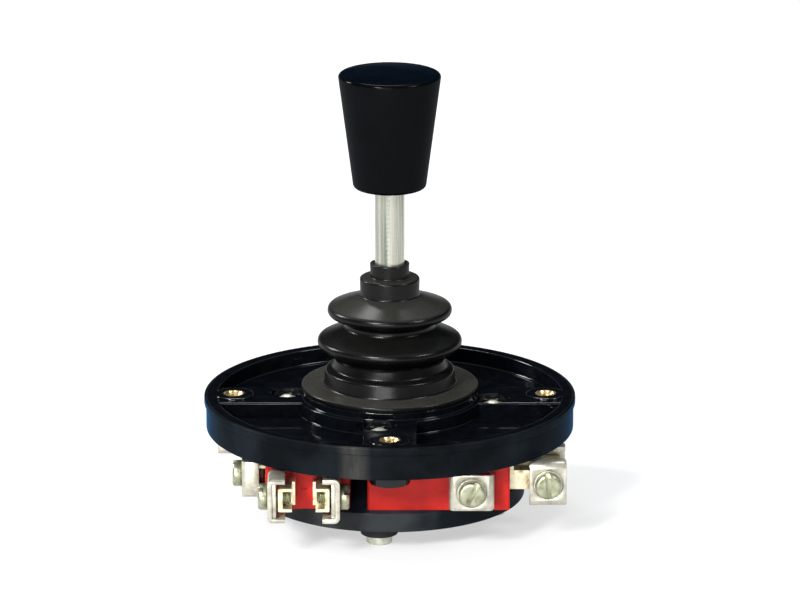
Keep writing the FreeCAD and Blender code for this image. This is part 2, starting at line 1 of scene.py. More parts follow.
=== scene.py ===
import math
import bpy
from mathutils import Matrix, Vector


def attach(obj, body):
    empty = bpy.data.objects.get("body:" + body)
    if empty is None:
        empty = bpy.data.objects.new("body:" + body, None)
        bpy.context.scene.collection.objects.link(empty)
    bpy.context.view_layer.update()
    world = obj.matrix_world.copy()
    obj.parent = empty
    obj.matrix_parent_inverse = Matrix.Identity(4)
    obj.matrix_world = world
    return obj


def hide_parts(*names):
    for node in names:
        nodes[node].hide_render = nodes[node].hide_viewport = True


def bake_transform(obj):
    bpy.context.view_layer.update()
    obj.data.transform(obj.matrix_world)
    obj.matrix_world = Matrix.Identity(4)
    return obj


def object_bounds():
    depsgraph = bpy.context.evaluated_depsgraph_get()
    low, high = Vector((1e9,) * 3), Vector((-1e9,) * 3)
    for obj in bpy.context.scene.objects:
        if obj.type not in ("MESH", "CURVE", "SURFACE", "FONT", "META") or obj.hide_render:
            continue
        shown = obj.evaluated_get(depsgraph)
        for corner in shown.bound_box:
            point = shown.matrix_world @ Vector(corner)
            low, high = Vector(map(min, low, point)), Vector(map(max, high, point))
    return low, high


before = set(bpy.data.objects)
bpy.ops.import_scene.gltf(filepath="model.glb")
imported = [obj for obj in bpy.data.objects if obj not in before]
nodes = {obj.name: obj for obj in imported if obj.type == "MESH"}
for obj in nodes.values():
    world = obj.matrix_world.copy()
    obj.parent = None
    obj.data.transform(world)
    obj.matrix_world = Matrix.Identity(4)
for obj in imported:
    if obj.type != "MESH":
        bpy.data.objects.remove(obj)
cad_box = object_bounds()
MM = 0.001

# Camera and studio. The joystick is seen from the front and 17 degrees above its flange, from far off
# with a long lens. It stands on white paper between five soft boxes: a main one and a low one in front
# on the left, one at the left, one overhead behind it, and a weak one at the right.
VIEW_DISTANCE = 1600 * MM
VIEW_ELEVATION = math.radians(16.98)
FRAME_SIZE = (800, 600)
FOCAL_PIXELS = 5936
FLANGE_CENTRE_PIXEL = (389.3, 392.9)
SENSOR_WIDTH = 36
LAMPS_AIM = (0, 0, 0.02)
FLOOR_SIZE = 14.0
FLOOR_GAP = 0.05 * MM
PAPER_GLOW = 0.55


def linear(hex_colour):
    """An sRGB hex colour as linear red, green, blue and alpha."""
    parts = [int(hex_colour[i:i + 2], 16) / 255 for i in (1, 3, 5)]
    return tuple(c / 12.92 if c <= 0.04045 else ((c + 0.055) / 1.055) ** 2.4 for c in parts) + (1.0,)


def add(tree, kind, values=None, links=None, **settings):
    """Add one node, set its inputs and properties, and link what feeds it."""
    node = tree.nodes.new(kind)
    for key, value in settings.items():
        setattr(node, key, value)
    for key, value in (values or {}).items():
        node.inputs[key].default_value = value
    for key, socket in (links or {}).items():
        tree.links.new(socket, node.inputs[key])
    return node


def deselect():
    """Leave nothing selected, because an operator acts on all that is."""
    bpy.ops.object.select_all(action="DESELECT")


camera_data = bpy.data.cameras.new("camera")
camera_data.sensor_width = SENSOR_WIDTH
camera_data.lens = SENSOR_WIDTH * FOCAL_PIXELS / FRAME_SIZE[0]
camera_data.clip_end = 50
camera = bpy.data.objects.new("camera", camera_data)
bpy.context.scene.collection.objects.link(camera)
bpy.context.scene.camera = camera
drop_angle = math.atan((FLANGE_CENTRE_PIXEL[1] - FRAME_SIZE[1] / 2) / FOCAL_PIXELS)
turn_angle = math.atan((FLANGE_CENTRE_PIXEL[0] - FRAME_SIZE[0] / 2) / FOCAL_PIXELS)
camera.location = (0, -VIEW_DISTANCE * math.cos(VIEW_ELEVATION), VIEW_DISTANCE * math.sin(VIEW_ELEVATION))
camera.rotation_euler = (math.pi / 2 - VIEW_ELEVATION + drop_angle, 0, turn_angle)

# The room: pale at the horizon, dark above it where the black mouldings reflect it, pale overhead.
scene = bpy.context.scene
scene.view_settings.view_transform = "Standard"
world = bpy.data.worlds.new("studio")
scene.world = world
world.use_nodes = True
tree = world.node_tree
tree.nodes.clear()
room = add(tree, "ShaderNodeTexCoord")
height = add(tree, "ShaderNodeSeparateXYZ", links={"Vector": room.outputs["Generated"]})
walls = add(tree, "ShaderNodeValToRGB", links={"Fac": height.outputs["Z"]})
walls.color_ramp.elements[0].position = 0.05
walls.color_ramp.elements[0].color = linear("#dfe2e4")
walls.color_ramp.elements[1].position = 0.9
walls.color_ramp.elements[1].color = linear("#c2c8cc")
for position, colour in ((0.14, "#12161b"), (0.42, "#12161b"), (0.68, "#8f979e")):
    walls.color_ramp.elements.new(position).color = linear(colour)
studio = add(tree, "ShaderNodeBackground", {"Strength": 1.0}, {"Color": walls.outputs["Color"]})
add(tree, "ShaderNodeOutputWorld", links={"Surface": studio.outputs[0]})

# Each soft box: its name, its place, width and height in metres, and its power in watts.
SOFT_BOXES = (
    ("front_left_box", (-0.55, -1.05, 0.75), 0.26, 0.34, 23.0),
    ("front_low_box", (-0.30, -1.45, 0.14), 0.80, 0.30, 11.0),
    ("left_box", (-1.05, 0.42, 0.60), 0.20, 0.36, 12.0),
    ("overhead_box", (-0.10, 0.85, 1.20), 0.50, 0.30, 9.0),
    ("right_box", (0.90, -0.50, 0.80), 0.30, 0.40, 7.0),
)
for name, spot, width, tall, power in SOFT_BOXES:
    lamp = bpy.data.lights.new(name, "AREA")
    lamp.shape = "RECTANGLE"
    lamp.size = width
    lamp.size_y = tall
    lamp.energy = power
    box = bpy.data.objects.new(name, lamp)
    scene.collection.objects.link(box)
    box.location = spot
    aim = Vector(LAMPS_AIM) - Vector(spot)
    box.rotation_euler = aim.to_track_quat("-Z", "Y").to_euler()

deselect()
bpy.ops.mesh.primitive_plane_add(size=FLOOR_SIZE, location=(0, 0, 0))
floor = bpy.context.object
floor.name = "floor"
bpy.ops.object.mode_set(mode="EDIT")
bpy.ops.transform.translate(value=(0, 0, cad_box[0][2] - FLOOR_GAP))
bpy.ops.object.mode_set(mode="OBJECT")

# Matt white paper: it shows white from above with the object's shadow on it, and is clear from beneath,
# so that the underside can be looked at.
paper = bpy.data.materials.new("matt_white_paper")
paper.use_nodes = True
tree = paper.node_tree
tree.nodes.clear()
rays = add(tree, "ShaderNodeLightPath")
seen = add(tree, "ShaderNodeMath", operation="MAXIMUM",
           links={0: rays.outputs["Is Camera Ray"], 1: rays.outputs["Is Glossy Ray"]})
seen = add(tree, "ShaderNodeMath", operation="MAXIMUM",
           links={0: seen.outputs[0], 1: rays.outputs["Is Transmission Ray"]})
glow = add(tree, "ShaderNodeMath", {1: PAPER_GLOW}, {0: seen.outputs[0]}, operation="MULTIPLY")
lift = add(tree, "ShaderNodeEmission", {"Color": (1, 1, 1, 1)}, {"Strength": glow.outputs[0]})
matt = add(tree, "ShaderNodeBsdfDiffuse", {"Color": linear("#a6a6a6")})
both = add(tree, "ShaderNodeAddShader", links={0: matt.outputs[0], 1: lift.outputs[0]})
face = add(tree, "ShaderNodeNewGeometry")
clear = add(tree, "ShaderNodeBsdfTransparent")
two_sided = add(tree, "ShaderNodeMixShader",
                links={0: face.outputs["Backfacing"], 1: both.outputs[0], 2: clear.outputs[0]})
add(tree, "ShaderNodeOutputMaterial", links={"Surface": two_sided.outputs[0]})
floor.data.materials.append(paper)


# Flange housing. A round black phenolic moulding, satin outside and glossy in its recess, with a lip
# at the panel face, a hub for the gimbal, four ribs, and four bosses for the panel screws' inserts.

# Sizes are in millimetres. In a pair, the first is a radius or width and the second a height or depth,
# but TIE and PAINTED_HIGHLIGHT are places in x and y, and an ENDS, REACH or SPAN runs from low to high.
FLANGE_R = 50.0
LIP_DEPTH = 2.0
LIP_STEP = 0.5
RIM_DEPTH = 9.0
RIM_WALL = 3.5
RECESS = 4.2
HUB_BORE_R = 15.0
HUB_R = 23.5
HUB_TOP = 1.5
HUB_STEP = (24.8, 0.6)
RIB_WIDTH = 14.5
INSERT_PITCH_R = 42.0
BOSS = (5.4, 11.8)
INSERT_R = 2.8
INSERT_LENGTH = 8.0
INSERT_FLARE = 0.9
TIE = (-2.8, -27.7)
POCKET = (4.3, 5.0)
POCKET_FLARE = 1.2
SCREW_HOLE_R = 2.2
GLOSS_ENDS = (48.9, 49.4)
# Where the painted highlight of the front left lamp sits on the rim, and how far out it fades.
PAINTED_HIGHLIGHT = (-9.5, -49.0)
PAINTED_HIGHLIGHT_REACH = (0.4, 4.8)


def begin(name):
    """Name the newest primitive and open it for shaping, with all of it selected."""
    obj = bpy.context.object
    obj.name = name
    obj.data.name = name
    bpy.ops.object.mode_set(mode="EDIT")
    bpy.ops.mesh.select_all(action="SELECT")
    return obj


def turned_piece(name, section, sides=160, solid=True):
    """A turned piece in millimetres: each ring of its half section is pulled from the one before.

    A solid piece starts and ends as a flat disc. A hollow one comes back round to its first ring.
    """
    deselect()
    bpy.ops.mesh.primitive_circle_add(vertices=sides, radius=section[0][0] * MM,
                                      fill_type="NGON" if solid else "NOTHING")
    obj = begin(name)
    bpy.ops.transform.translate(value=(0, 0, section[0][1] * MM))
    rings = section[1:] if solid else section[1:] + section[:1]
    last = section[0]
    for r, z in rings:
        bpy.ops.mesh.extrude_region_move(TRANSFORM_OT_translate={"value": (0, 0, (z - last[1]) * MM)})
        ratio = r / last[0]
        bpy.ops.transform.resize(value=(ratio, ratio, 1), center_override=(0, 0, z * MM))
        last = (r, z)
    bpy.ops.mesh.select_all(action="SELECT")
    bpy.ops.mesh.remove_doubles(threshold=0.002 * MM)
    bpy.ops.mesh.normals_make_consistent(inside=False)
    bpy.ops.object.mode_set(mode="OBJECT")
    return obj


def eased(corners, steps=4):
    """Half section points from (radius, z, ease) corners, each rounded over its own distance."""
    points = []
    for i, (r, z, ease) in enumerate(corners):
        here = Vector((r, z))
        before = Vector(corners[i - 1][:2])
        after = Vector(corners[(i + 1) % len(corners)][:2])
        if not ease:
            points.append((r, z))
            continue
        start = here + (before - here).normalized() * ease
        end = here + (after - here).normalized() * ease
        for k in range(steps + 1):
            t = k / steps
            point = start * (1 - t) ** 2 + here * 2 * t * (1 - t) + end * t ** 2
            points.append((point.x, point.y))
    return points


def block_piece(name, low, high):
    """A box-shaped start in millimetres, between two corners."""
    deselect()
    bpy.ops.mesh.primitive_cube_add(size=1)
    obj = begin(name)
    size = [(b - a) * MM for a, b in zip(low, high)]
    bpy.ops.transform.resize(value=size)
    bpy.ops.transform.translate(value=[(a + b) / 2 * MM for a, b in zip(low, high)])
    bpy.ops.object.mode_set(mode="OBJECT")
    return obj


def take(obj):
    """Make a piece the only one selected, and the active one."""
    deselect()
    obj.select_set(True)
    bpy.context.view_layer.objects.active = obj


def place(obj, move=(0, 0, 0), turn=0.0, axis="Z"):
    """Turn a piece's mesh about an axis of the frame, then move it. The object stays at the origin."""
    take(obj)
    bpy.ops.object.mode_set(mode="EDIT")
    bpy.ops.mesh.select_all(action="SELECT")
    if turn:
        bpy.ops.transform.rotate(value=-math.radians(turn), orient_axis=axis, center_override=(0, 0, 0))
    bpy.ops.transform.translate(value=[m * MM for m in move])
    bpy.ops.object.mode_set(mode="OBJECT")
    return obj


def copy_of(obj, name):
    """A copy with its own mesh."""
    twin = obj.copy()
    twin.data = obj.data.copy()
    twin.name = name
    twin.data.name = name
    scene.collection.objects.link(twin)
    return twin


def joined(pieces, name):
    """One object made of several, as they lie."""
    deselect()
    for piece in pieces:
        piece.select_set(True)
    bpy.context.view_layer.objects.active = pieces[0]
    bpy.ops.object.join()
    pieces[0].name = name
    pieces[0].data.name = name
    return pieces[0]


def apply_modifier(obj, kind, **settings):
    """Add a modifier with its settings, apply it and leave nothing live."""
    take(obj)
    modifier = obj.modifiers.new(kind.lower(), kind)
    for key, value in settings.items():
        setattr(modifier, key, value)
    bpy.ops.object.modifier_apply(modifier=modifier.name)


def carve(obj, cutter, operation="DIFFERENCE"):
    """Cut one piece with another, or unite them, and drop the cutter."""
    apply_modifier(obj, "BOOLEAN", object=cutter, operation=operation, solver="EXACT")
    bpy.data.objects.remove(cutter)


def round_edges(obj, width, segments=2, sharp=30):
    """Round the sharp edges and shade what is left smooth."""
    apply_modifier(obj, "BEVEL", width=width * MM, segments=segments, limit_method="ANGLE",
                   angle_limit=math.radians(sharp), harden_normals=False, use_clamp_overlap=True)
    smooth(obj)


def smooth(obj, angle=35):
    """Shade smooth across edges that bend less than the angle, in degrees."""
    take(obj)
    bpy.ops.object.shade_smooth_by_angle(angle=math.radians(angle))


def even_normals(obj):
    """Smooth what is rounded and keep large flat faces flat."""
    smooth(obj, 30)
    apply_modifier(obj, "WEIGHTED_NORMAL", keep_sharp=True, weight=80)


def quarter_turns(obj, name):
    """The piece and three copies of it, each turned a quarter further about the lever."""
    return [obj] + [place(copy_of(obj, f"{name}_{i}"), turn=90 * i) for i in (1, 2, 3)]


def new_finish(name):
    """A new material, its node tree, its shader, and the place on the piece that its patterns follow."""
    material = bpy.data.materials.new(name)
    material.use_nodes = True
    tree = material.node_tree
    return material, tree, tree.nodes["Principled BSDF"], add(tree, "ShaderNodeTexCoord").outputs["Object"]


def dress(obj, material):
    """Give a piece its one material."""
    obj.data.materials.clear()
    obj.data.materials.append(material)


flange = turned_piece("flange_shell", eased([
    (HUB_BORE_R, -RIM_DEPTH, 0.4),
    (FLANGE_R - LIP_STEP, -RIM_DEPTH, 0.5),
    (FLANGE_R - LIP_STEP, -LIP_DEPTH, 0.15),
    (FLANGE_R, -LIP_DEPTH, 0.2),
    (FLANGE_R, 0, 0.5),
    (FLANGE_R - RIM_WALL, 0, 0.35),
    (FLANGE_R - RIM_WALL, -RECESS, 0.5),
    (HUB_STEP[0], -RECESS, 0.35),
    (HUB_STEP[0], -HUB_STEP[1], 0.3),
    (HUB_R, -HUB_STEP[1], 0.3),
    (HUB_R, HUB_TOP, 0.4),
    (HUB_BORE_R, HUB_TOP, 0.4),
]), sides=192, solid=False)
rib = block_piece("rib", (HUB_R - 0.5, -RIB_WIDTH / 2, -RECESS - 0.5),
                  (FLANGE_R - RIM_WALL + 0.8, RIB_WIDTH / 2, -HUB_STEP[1]))
round_edges(rib, 0.45, 4)
carve(flange, joined(quarter_turns(rib, "rib"), "ribs"), "UNION")
boss = turned_piece("boss", eased([(BOSS[0] - 1, -BOSS[1], 0), (BOSS[0], -BOSS[1], 0.4), (BOSS[0], 0, 0.5),
                                   (BOSS[0] - 1, 0, 0)]), sides=64)
place(boss, move=(INSERT_PITCH_R, 0, 0))
carve(flange, joined(quarter_turns(boss, "boss"), "bosses"), "UNION")
socket = turned_piece("socket", [(INSERT_R, -INSERT_LENGTH), (INSERT_R, -0.3),
                                 (INSERT_R + INSERT_FLARE, 0.6)], sides=48)
place(socket, move=(INSERT_PITCH_R, 0, 0))
cuts = quarter_turns(socket, "socket")
pocket = turned_piece("pocket", [(POCKET[0], -POCKET[1]), (POCKET[0], -0.9),
                                 (POCKET[0] + POCKET_FLARE, 0.3)], sides=64)
place(pocket, move=(TIE[0], TIE[1], 0))
cuts += quarter_turns(pocket, "pocket")
carve(flange, joined(cuts, "sockets"))
passage = turned_piece("passage", [(SCREW_HOLE_R, -RIM_DEPTH - 3), (SCREW_HOLE_R, 1 - POCKET[1])],
                       sides=40)
place(passage, move=(TIE[0], TIE[1], 0))
carve(flange, joined(quarter_turns(passage, "passage"), "passages"))
even_normals(flange)

# Phenolic moulding compound: wood-flour filled, so its black skin has a faint mottle and fine scuffs.
# The recess kept the mould's gloss. The outside is rubbed satin, with a blue sheen that is a painted
# reflection, and a painted highlight of the front left lamp, grey and streaked, runs down the rim's front.
phenolic, tree, shader, on_piece = new_finish("moulded_phenolic")
shader.inputs["Specular IOR Level"].default_value = 0.0
shader.inputs["Coat IOR"].default_value = 1.55
# The blue sheen tint is a painted reflection.
shader.inputs["Sheen Roughness"].default_value = 0.24
shader.inputs["Sheen Tint"].default_value = linear("#1f8ccf")
mottle = add(tree, "ShaderNodeTexNoise", {"Scale": 1 / (3 * MM), "Detail": 6.0, "Roughness": 0.6},
             {"Vector": on_piece})
tint = add(tree, "ShaderNodeValToRGB", links={"Fac": mottle.outputs["Fac"]})
tint.color_ramp.elements[0].position = 0.3
tint.color_ramp.elements[0].color = linear("#030406")
tint.color_ramp.elements[1].position = 0.75
tint.color_ramp.elements[1].color = linear("#0a0d12")
scuff = add(tree, "ShaderNodeTexNoise", {"Scale": 1 / (0.9 * MM), "Detail": 4.0}, {"Vector": on_piece})
flat = add(tree, "ShaderNodeVectorMath", {1: (1.0, 1.0, 0.0)}, {0: on_piece}, operation="MULTIPLY")
reach = add(tree, "ShaderNodeVectorMath", links={0: flat.outputs[0]}, operation="LENGTH")
outside = add(tree, "ShaderNodeMapRange", {"From Min": GLOSS_ENDS[0] * MM, "From Max": GLOSS_ENDS[1] * MM},
              {"Value": reach.outputs["Value"]})
shine = add(tree, "ShaderNodeMapRange", {"To Min": 0.6, "To Max": 0.08},
            {"Value": outside.outputs["Result"]})
satin = add(tree, "ShaderNodeMapRange", {"To Min": 0.04, "To Max": 0.36},
            {"Value": outside.outputs["Result"]})
polish = add(tree, "ShaderNodeMath", {1: 0.08}, {0: scuff.outputs["Fac"], 2: satin.outputs["Result"]},
             operation="MULTIPLY_ADD")
patch = add(tree, "ShaderNodeTexNoise", {"Scale": 1 / (14 * MM), "Detail": 5.0}, {"Vector": on_piece})
rubbed_and_painted_light = add(tree, "ShaderNodeValToRGB", links={"Fac": patch.outputs["Fac"]})
rubbed_and_painted_light.color_ramp.elements[0].position = 0.45
rubbed_and_painted_light.color_ramp.elements[0].color = linear("#06090c")
rubbed_and_painted_light.color_ramp.elements[1].position = 0.68
rubbed_and_painted_light.color_ramp.elements[1].color = linear("#13181c")
# A painted highlight: the front left lamp's reflection, drawn as a grey patch with vertical streaks.
from_painted_highlight = add(tree, "ShaderNodeVectorMath", {1: (PAINTED_HIGHLIGHT[0] * MM, PAINTED_HIGHLIGHT[1] * MM, 0)}, {0: flat.outputs[0]},
                 operation="DISTANCE")
painted_highlight = add(tree, "ShaderNodeMapRange",
            {"From Min": PAINTED_HIGHLIGHT_REACH[0] * MM, "From Max": PAINTED_HIGHLIGHT_REACH[1] * MM, "To Min": 0.95, "To Max": 0.0},
            {"Value": from_painted_highlight.outputs["Value"]})
upright = add(tree, "ShaderNodeVectorMath", {1: (1.0, 1.0, 0.2)}, {0: on_piece}, operation="MULTIPLY")
streak = add(tree, "ShaderNodeTexNoise", {"Scale": 1 / (1.6 * MM), "Detail": 3.0},
             {"Vector": upright.outputs[0]})
dust_and_highlight = add(tree, "ShaderNodeMath", links={0: painted_highlight.outputs["Result"], 1: streak.outputs["Fac"]},
           operation="MULTIPLY")
rim_tone_and_highlight = add(tree, "ShaderNodeMix", {"B": linear("#4d4c48")},
               {"Factor": dust_and_highlight.outputs[0], "A": rubbed_and_painted_light.outputs["Color"]}, data_type="RGBA")
skin = add(tree, "ShaderNodeMix", links={"Factor": outside.outputs["Result"], "A": tint.outputs["Color"],
                                         "B": rim_tone_and_highlight.outputs["Result"]}, data_type="RGBA")
# The blue sheen on the outside is a painted reflection, left off faces that look up.
facing = add(tree, "ShaderNodeNewGeometry")
tilt = add(tree, "ShaderNodeSeparateXYZ", links={"Vector": facing.outputs["Normal"]})
standing = add(tree, "ShaderNodeMapRange", {"From Min": 0.1, "From Max": 0.6, "To Min": 0.8, "To Max": 0.0},
               {"Value": tilt.outputs["Z"]})
haze = add(tree, "ShaderNodeMath", links={0: outside.outputs["Result"], 1: standing.outputs["Result"]},
           operation="MULTIPLY")
grain = add(tree, "ShaderNodeBump", {"Strength": 0.03, "Distance": 0.02 * MM},
            {"Height": scuff.outputs["Fac"]})
tree.links.new(skin.outputs["Result"], shader.inputs["Base Color"])
tree.links.new(shine.outputs["Result"], shader.inputs["Coat Weight"])
tree.links.new(polish.outputs[0], shader.inputs["Coat Roughness"])
tree.links.new(haze.outputs[0], shader.inputs["Sheen Weight"])
tree.links.new(grain.outputs["Normal"], shader.inputs["Normal"])
dress(flange, phenolic)
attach(flange, "housing")
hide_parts("flange_housing")


# Mounting inserts. Turned brass bushes moulded into the bosses, with an M4 thread for the panel screws.
INSERT_HOLE_R = 2.0
INSERT_FIT = 0.02
THREAD_PITCH = 0.7
NUT_THREAD_DEPTH = 0.35

insert_thread = []
for i in range(int(INSERT_LENGTH / THREAD_PITCH)):
    z = -0.5 - i * THREAD_PITCH
    insert_thread += [(INSERT_HOLE_R, z), (INSERT_HOLE_R - NUT_THREAD_DEPTH, z - THREAD_PITCH / 2)]
insert = turned_piece("insert_0", [
    (INSERT_R - INSERT_FIT, -INSERT_LENGTH),
    (INSERT_R - INSERT_FIT, -INSERT_FIT),
    (INSERT_HOLE_R + 0.3, -INSERT_FIT),
    *insert_thread,
    (INSERT_HOLE_R, -INSERT_LENGTH),
], sides=48, solid=False)
place(insert, move=(INSERT_PITCH_R, 0, 0))
smooth(insert, 30)
inserts = joined(quarter_turns(insert, "insert"), "brass_inserts")

# Machined brass: a warm yellow metal, a little tarnished and uneven.
brass, tree, shader, on_piece = new_finish("machined_brass")
shader.inputs["Metallic"].default_value = 1.0
tarnish = add(tree, "ShaderNodeTexNoise", {"Scale": 1 / (1.2 * MM), "Detail": 5.0}, {"Vector": on_piece})
tint = add(tree, "ShaderNodeValToRGB", links={"Fac": tarnish.outputs["Fac"]})
tint.color_ramp.elements[0].position = 0.35
tint.color_ramp.elements[0].color = linear("#d9b878")
tint.color_ramp.elements[1].position = 0.7
tint.color_ramp.elements[1].color = linear("#f6e2b4")
polish = add(tree, "ShaderNodeMapRange", {"To Min": 0.2, "To Max": 0.38},
             {"Value": tarnish.outputs["Fac"]})
marks = add(tree, "ShaderNodeBump", {"Strength": 0.15, "Distance": 0.03 * MM},
            {"Height": tarnish.outputs["Fac"]})
tree.links.new(tint.outputs["Color"], shader.inputs["Base Color"])
tree.links.new(polish.outputs["Result"], shader.inputs["Roughness"])
tree.links.new(marks.outputs["Normal"], shader.inputs["Normal"])
dress(inserts, brass)
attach(inserts, "housing")
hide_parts("mounting_inserts")


# Bottom plate. A dished black moulding that closes the contact blocks from below, with a boss round
# each tie screw and four ribs between its floor and its rim.
PLATE_R = 36.4
PLATE_TOP = -22.4
PLATE_THICKNESS = 5.25
PLATE_FLOOR = 2.6
PLATE_RIM = 2.4
WEB_WIDTH = 1.6
WEB_FOOT = 0.6
WEB_SINK = 1.0
TIE_BOSS = (5.0, 2.85)

plate_under = PLATE_TOP - PLATE_THICKNESS
tie_seat = plate_under - TIE_BOSS[1]
plate = turned_piece("plate_shell", eased([
    (PLATE_R - PLATE_RIM - 1, PLATE_TOP - PLATE_FLOOR, 0),
    (PLATE_R - PLATE_RIM, PLATE_TOP - PLATE_FLOOR, 0.4),
    (PLATE_R - PLATE_RIM, plate_under, 0.4),
    (PLATE_R, plate_under, 0.6),
    (PLATE_R, PLATE_TOP, 0.4),
    (PLATE_R - 1, PLATE_TOP, 0),
]), sides=160)
web_end = PLATE_R - PLATE_RIM / 2
for turn in (45, 135):
    web = block_piece("plate_rib", (-web_end, -WEB_WIDTH / 2, plate_under + WEB_FOOT),
                      (web_end, WEB_WIDTH / 2, PLATE_TOP - WEB_SINK))
    carve(plate, place(web, turn=turn), "UNION")
boss = turned_piece("tie_boss", eased([(TIE_BOSS[0] - 1, tie_seat, 0), (TIE_BOSS[0], tie_seat, 0.4),
                                       (TIE_BOSS[0], PLATE_TOP - 1.0, 0)]), sides=64)
place(boss, move=(TIE[0], TIE[1], 0))
carve(plate, joined(quarter_turns(boss, "tie_boss"), "tie_bosses"), "UNION")
passage = turned_piece("passage", [(SCREW_HOLE_R, tie_seat - 1), (SCREW_HOLE_R, PLATE_TOP + 1)], sides=40)
place(passage, move=(TIE[0], TIE[1], 0))
carve(plate, joined(quarter_turns(passage, "passage"), "passages"))
even_normals(plate)

# The same compound, duller here and dusty in patches, with painted light on its left side and painted shade
# towards the right.
dull = phenolic.copy()
dull.name = "dusty_phenolic_with_painted_light"
tree = dull.node_tree
shader = tree.nodes["Principled BSDF"]
for socket in ("Base Color", "Coat Weight", "Sheen Weight"):
    tree.links.remove(shader.inputs[socket].links[0])
shader.inputs["Coat Weight"].default_value = 0.12
shader.inputs["Sheen Weight"].default_value = 0.3
on_piece = add(tree, "ShaderNodeTexCoord").outputs["Object"]
across = add(tree, "ShaderNodeSeparateXYZ", links={"Vector": on_piece})
cloud = add(tree, "ShaderNodeTexNoise", {"Scale": 1 / (7 * MM), "Detail": 6.0}, {"Vector": on_piece})
# Painted light and shade: lighter on the left, darker towards the right.
painted_shade_to_right = add(tree, "ShaderNodeMapRange", {"From Min": 4 * MM, "From Max": 26 * MM},
            {"Value": across.outputs["X"]})
rubbed_and_painted_light = add(tree, "ShaderNodeMath", links={0: cloud.outputs["Fac"], 1: painted_shade_to_right.outputs["Result"]},
             operation="SUBTRACT")
tint = add(tree, "ShaderNodeValToRGB", links={"Fac": rubbed_and_painted_light.outputs[0]})
tint.color_ramp.elements[0].color = linear("#0c1319")
tint.color_ramp.elements[1].position = 0.55
tint.color_ramp.elements[1].color = linear("#2f3234")
tree.links.new(tint.outputs["Color"], shader.inputs["Base Color"])
dress(plate, dull)
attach(plate, "housing")
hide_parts("bottom_plate")


# Tie screws and nuts. Zinc plated M4 screws with slotted cheese heads come up from below, through the
# plate, the blocks and the flange, to a hexagon nut in each rib's pocket.
M4_R = 2.0
HEAD = (3.5, 2.5)
SLOT = (1.1, 1.2)
THREAD_DEPTH = 0.3
TIE_TIP = -1.4
TIE_THREAD_FOOT = -12.0
NUT = (7.0, 2.4)
NUT_FOOT = -5.0


def screw_thread(foot, end):
    """Half section points of an M4 screw's thread, in millimetres, from its foot to where it runs out."""
    points = [(M4_R, foot)]
    z = foot
    while z < end:
        points += [(M4_R - THREAD_DEPTH, z + THREAD_PITCH / 2), (M4_R, z + THREAD_PITCH)]
        z += THREAD_PITCH
    return points


head_under = tie_seat - HEAD[1]
screw = turned_piece("tie_head", [(HEAD[0] - 0.3, head_under), (HEAD[0], head_under + 0.3),
                                  (HEAD[0], tie_seat - 0.3), (HEAD[0] - 0.3, tie_seat)], sides=64)
slot_cut = block_piece("slot", (-5, -SLOT[0] / 2, head_under - 1), (5, SLOT[0] / 2, head_under + SLOT[1]))
carve(screw, slot_cut)
round_edges(screw, 0.12)
shank = turned_piece("tie_shank", [(M4_R, tie_seat - 0.2)] + screw_thread(TIE_THREAD_FOOT, TIE_TIP - 1.0)
                     + [(M4_R - 0.35, TIE_TIP - 0.35), (M4_R - 1.0, TIE_TIP)], sides=40)
smooth(shank, 60)
screw = joined([screw, shank], "tie_screw")
place(screw, move=(TIE[0], TIE[1], 0))
tie_screws = joined(quarter_turns(screw, "tie_screw"), "zinc_tie_screws")

deselect()
bpy.ops.mesh.primitive_cylinder_add(vertices=6, radius=NUT[0] / math.sqrt(3) * MM, depth=NUT[1] * MM)
nut = begin("tie_nut")
bpy.ops.transform.translate(value=(0, 0, (NUT_FOOT + NUT[1] / 2) * MM))
bpy.ops.object.mode_set(mode="OBJECT")

# The nut's corners are turned off at both faces, as on a real one.
nut_corner = NUT[0] / math.sqrt(3) + 0.4
limit = turned_piece("limit", [
    (NUT[0] / 2 + 0.02, NUT_FOOT),
    (nut_corner, NUT_FOOT + 0.5),
    (nut_corner, NUT_FOOT + NUT[1] - 0.5),
    (NUT[0] / 2 + 0.02, NUT_FOOT + NUT[1]),
], sides=64)
carve(nut, limit, "INTERSECT")
bore = turned_piece("bore", [(M4_R - 0.1, NUT_FOOT - 1), (M4_R - 0.1, NUT_FOOT + 5)], sides=40)
carve(nut, bore)
round_edges(nut, 0.1, sharp=40)
place(nut, move=(TIE[0], TIE[1], 0), turn=12)
tie_nuts = joined(quarter_turns(nut, "tie_nut"), "zinc_tie_nuts")

# Zinc plated steel: a light grey metal with a cloudy bloom and small handling marks, drawn coarser than
# they are so that they show.
zinc, tree, shader, on_piece = new_finish("zinc_plated_steel")
shader.inputs["Metallic"].default_value = 0.55
bloom = add(tree, "ShaderNodeTexNoise", {"Scale": 1 / (2.2 * MM), "Detail": 6.0, "Roughness": 0.65},
            {"Vector": on_piece})
tint = add(tree, "ShaderNodeValToRGB", links={"Fac": bloom.outputs["Fac"]})
tint.color_ramp.elements[0].position = 0.3
tint.color_ramp.elements[0].color = linear("#b4b6a6")
tint.color_ramp.elements[1].position = 0.7
tint.color_ramp.elements[1].color = linear("#dcdccc")
polish = add(tree, "ShaderNodeMapRange", {"To Min": 0.2, "To Max": 0.42}, {"Value": bloom.outputs["Fac"]})
pits = add(tree, "ShaderNodeTexNoise", {"Scale": 1 / (0.3 * MM), "Detail": 2.0}, {"Vector": on_piece})
marks = add(tree, "ShaderNodeBump", {"Strength": 0.12, "Distance": 0.02 * MM},
            {"Height": pits.outputs["Fac"]})
tree.links.new(tint.outputs["Color"], shader.inputs["Base Color"])
tree.links.new(polish.outputs["Result"], shader.inputs["Roughness"])
tree.links.new(marks.outputs["Normal"], shader.inputs["Normal"])
for piece, node_name in ((tie_screws, "tie_screws"), (tie_nuts, "tie_nuts")):
    dress(piece, zinc)
    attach(piece, "housing")
    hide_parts(node_name)


# Contact blocks. Four red thermoset mouldings, each turned a quarter from the next, with a nose that
# the two forked terminals come out of. The frame's own shapes stay.
SIDES = {"front": 0, "right": 90, "back": 180, "left": 270}

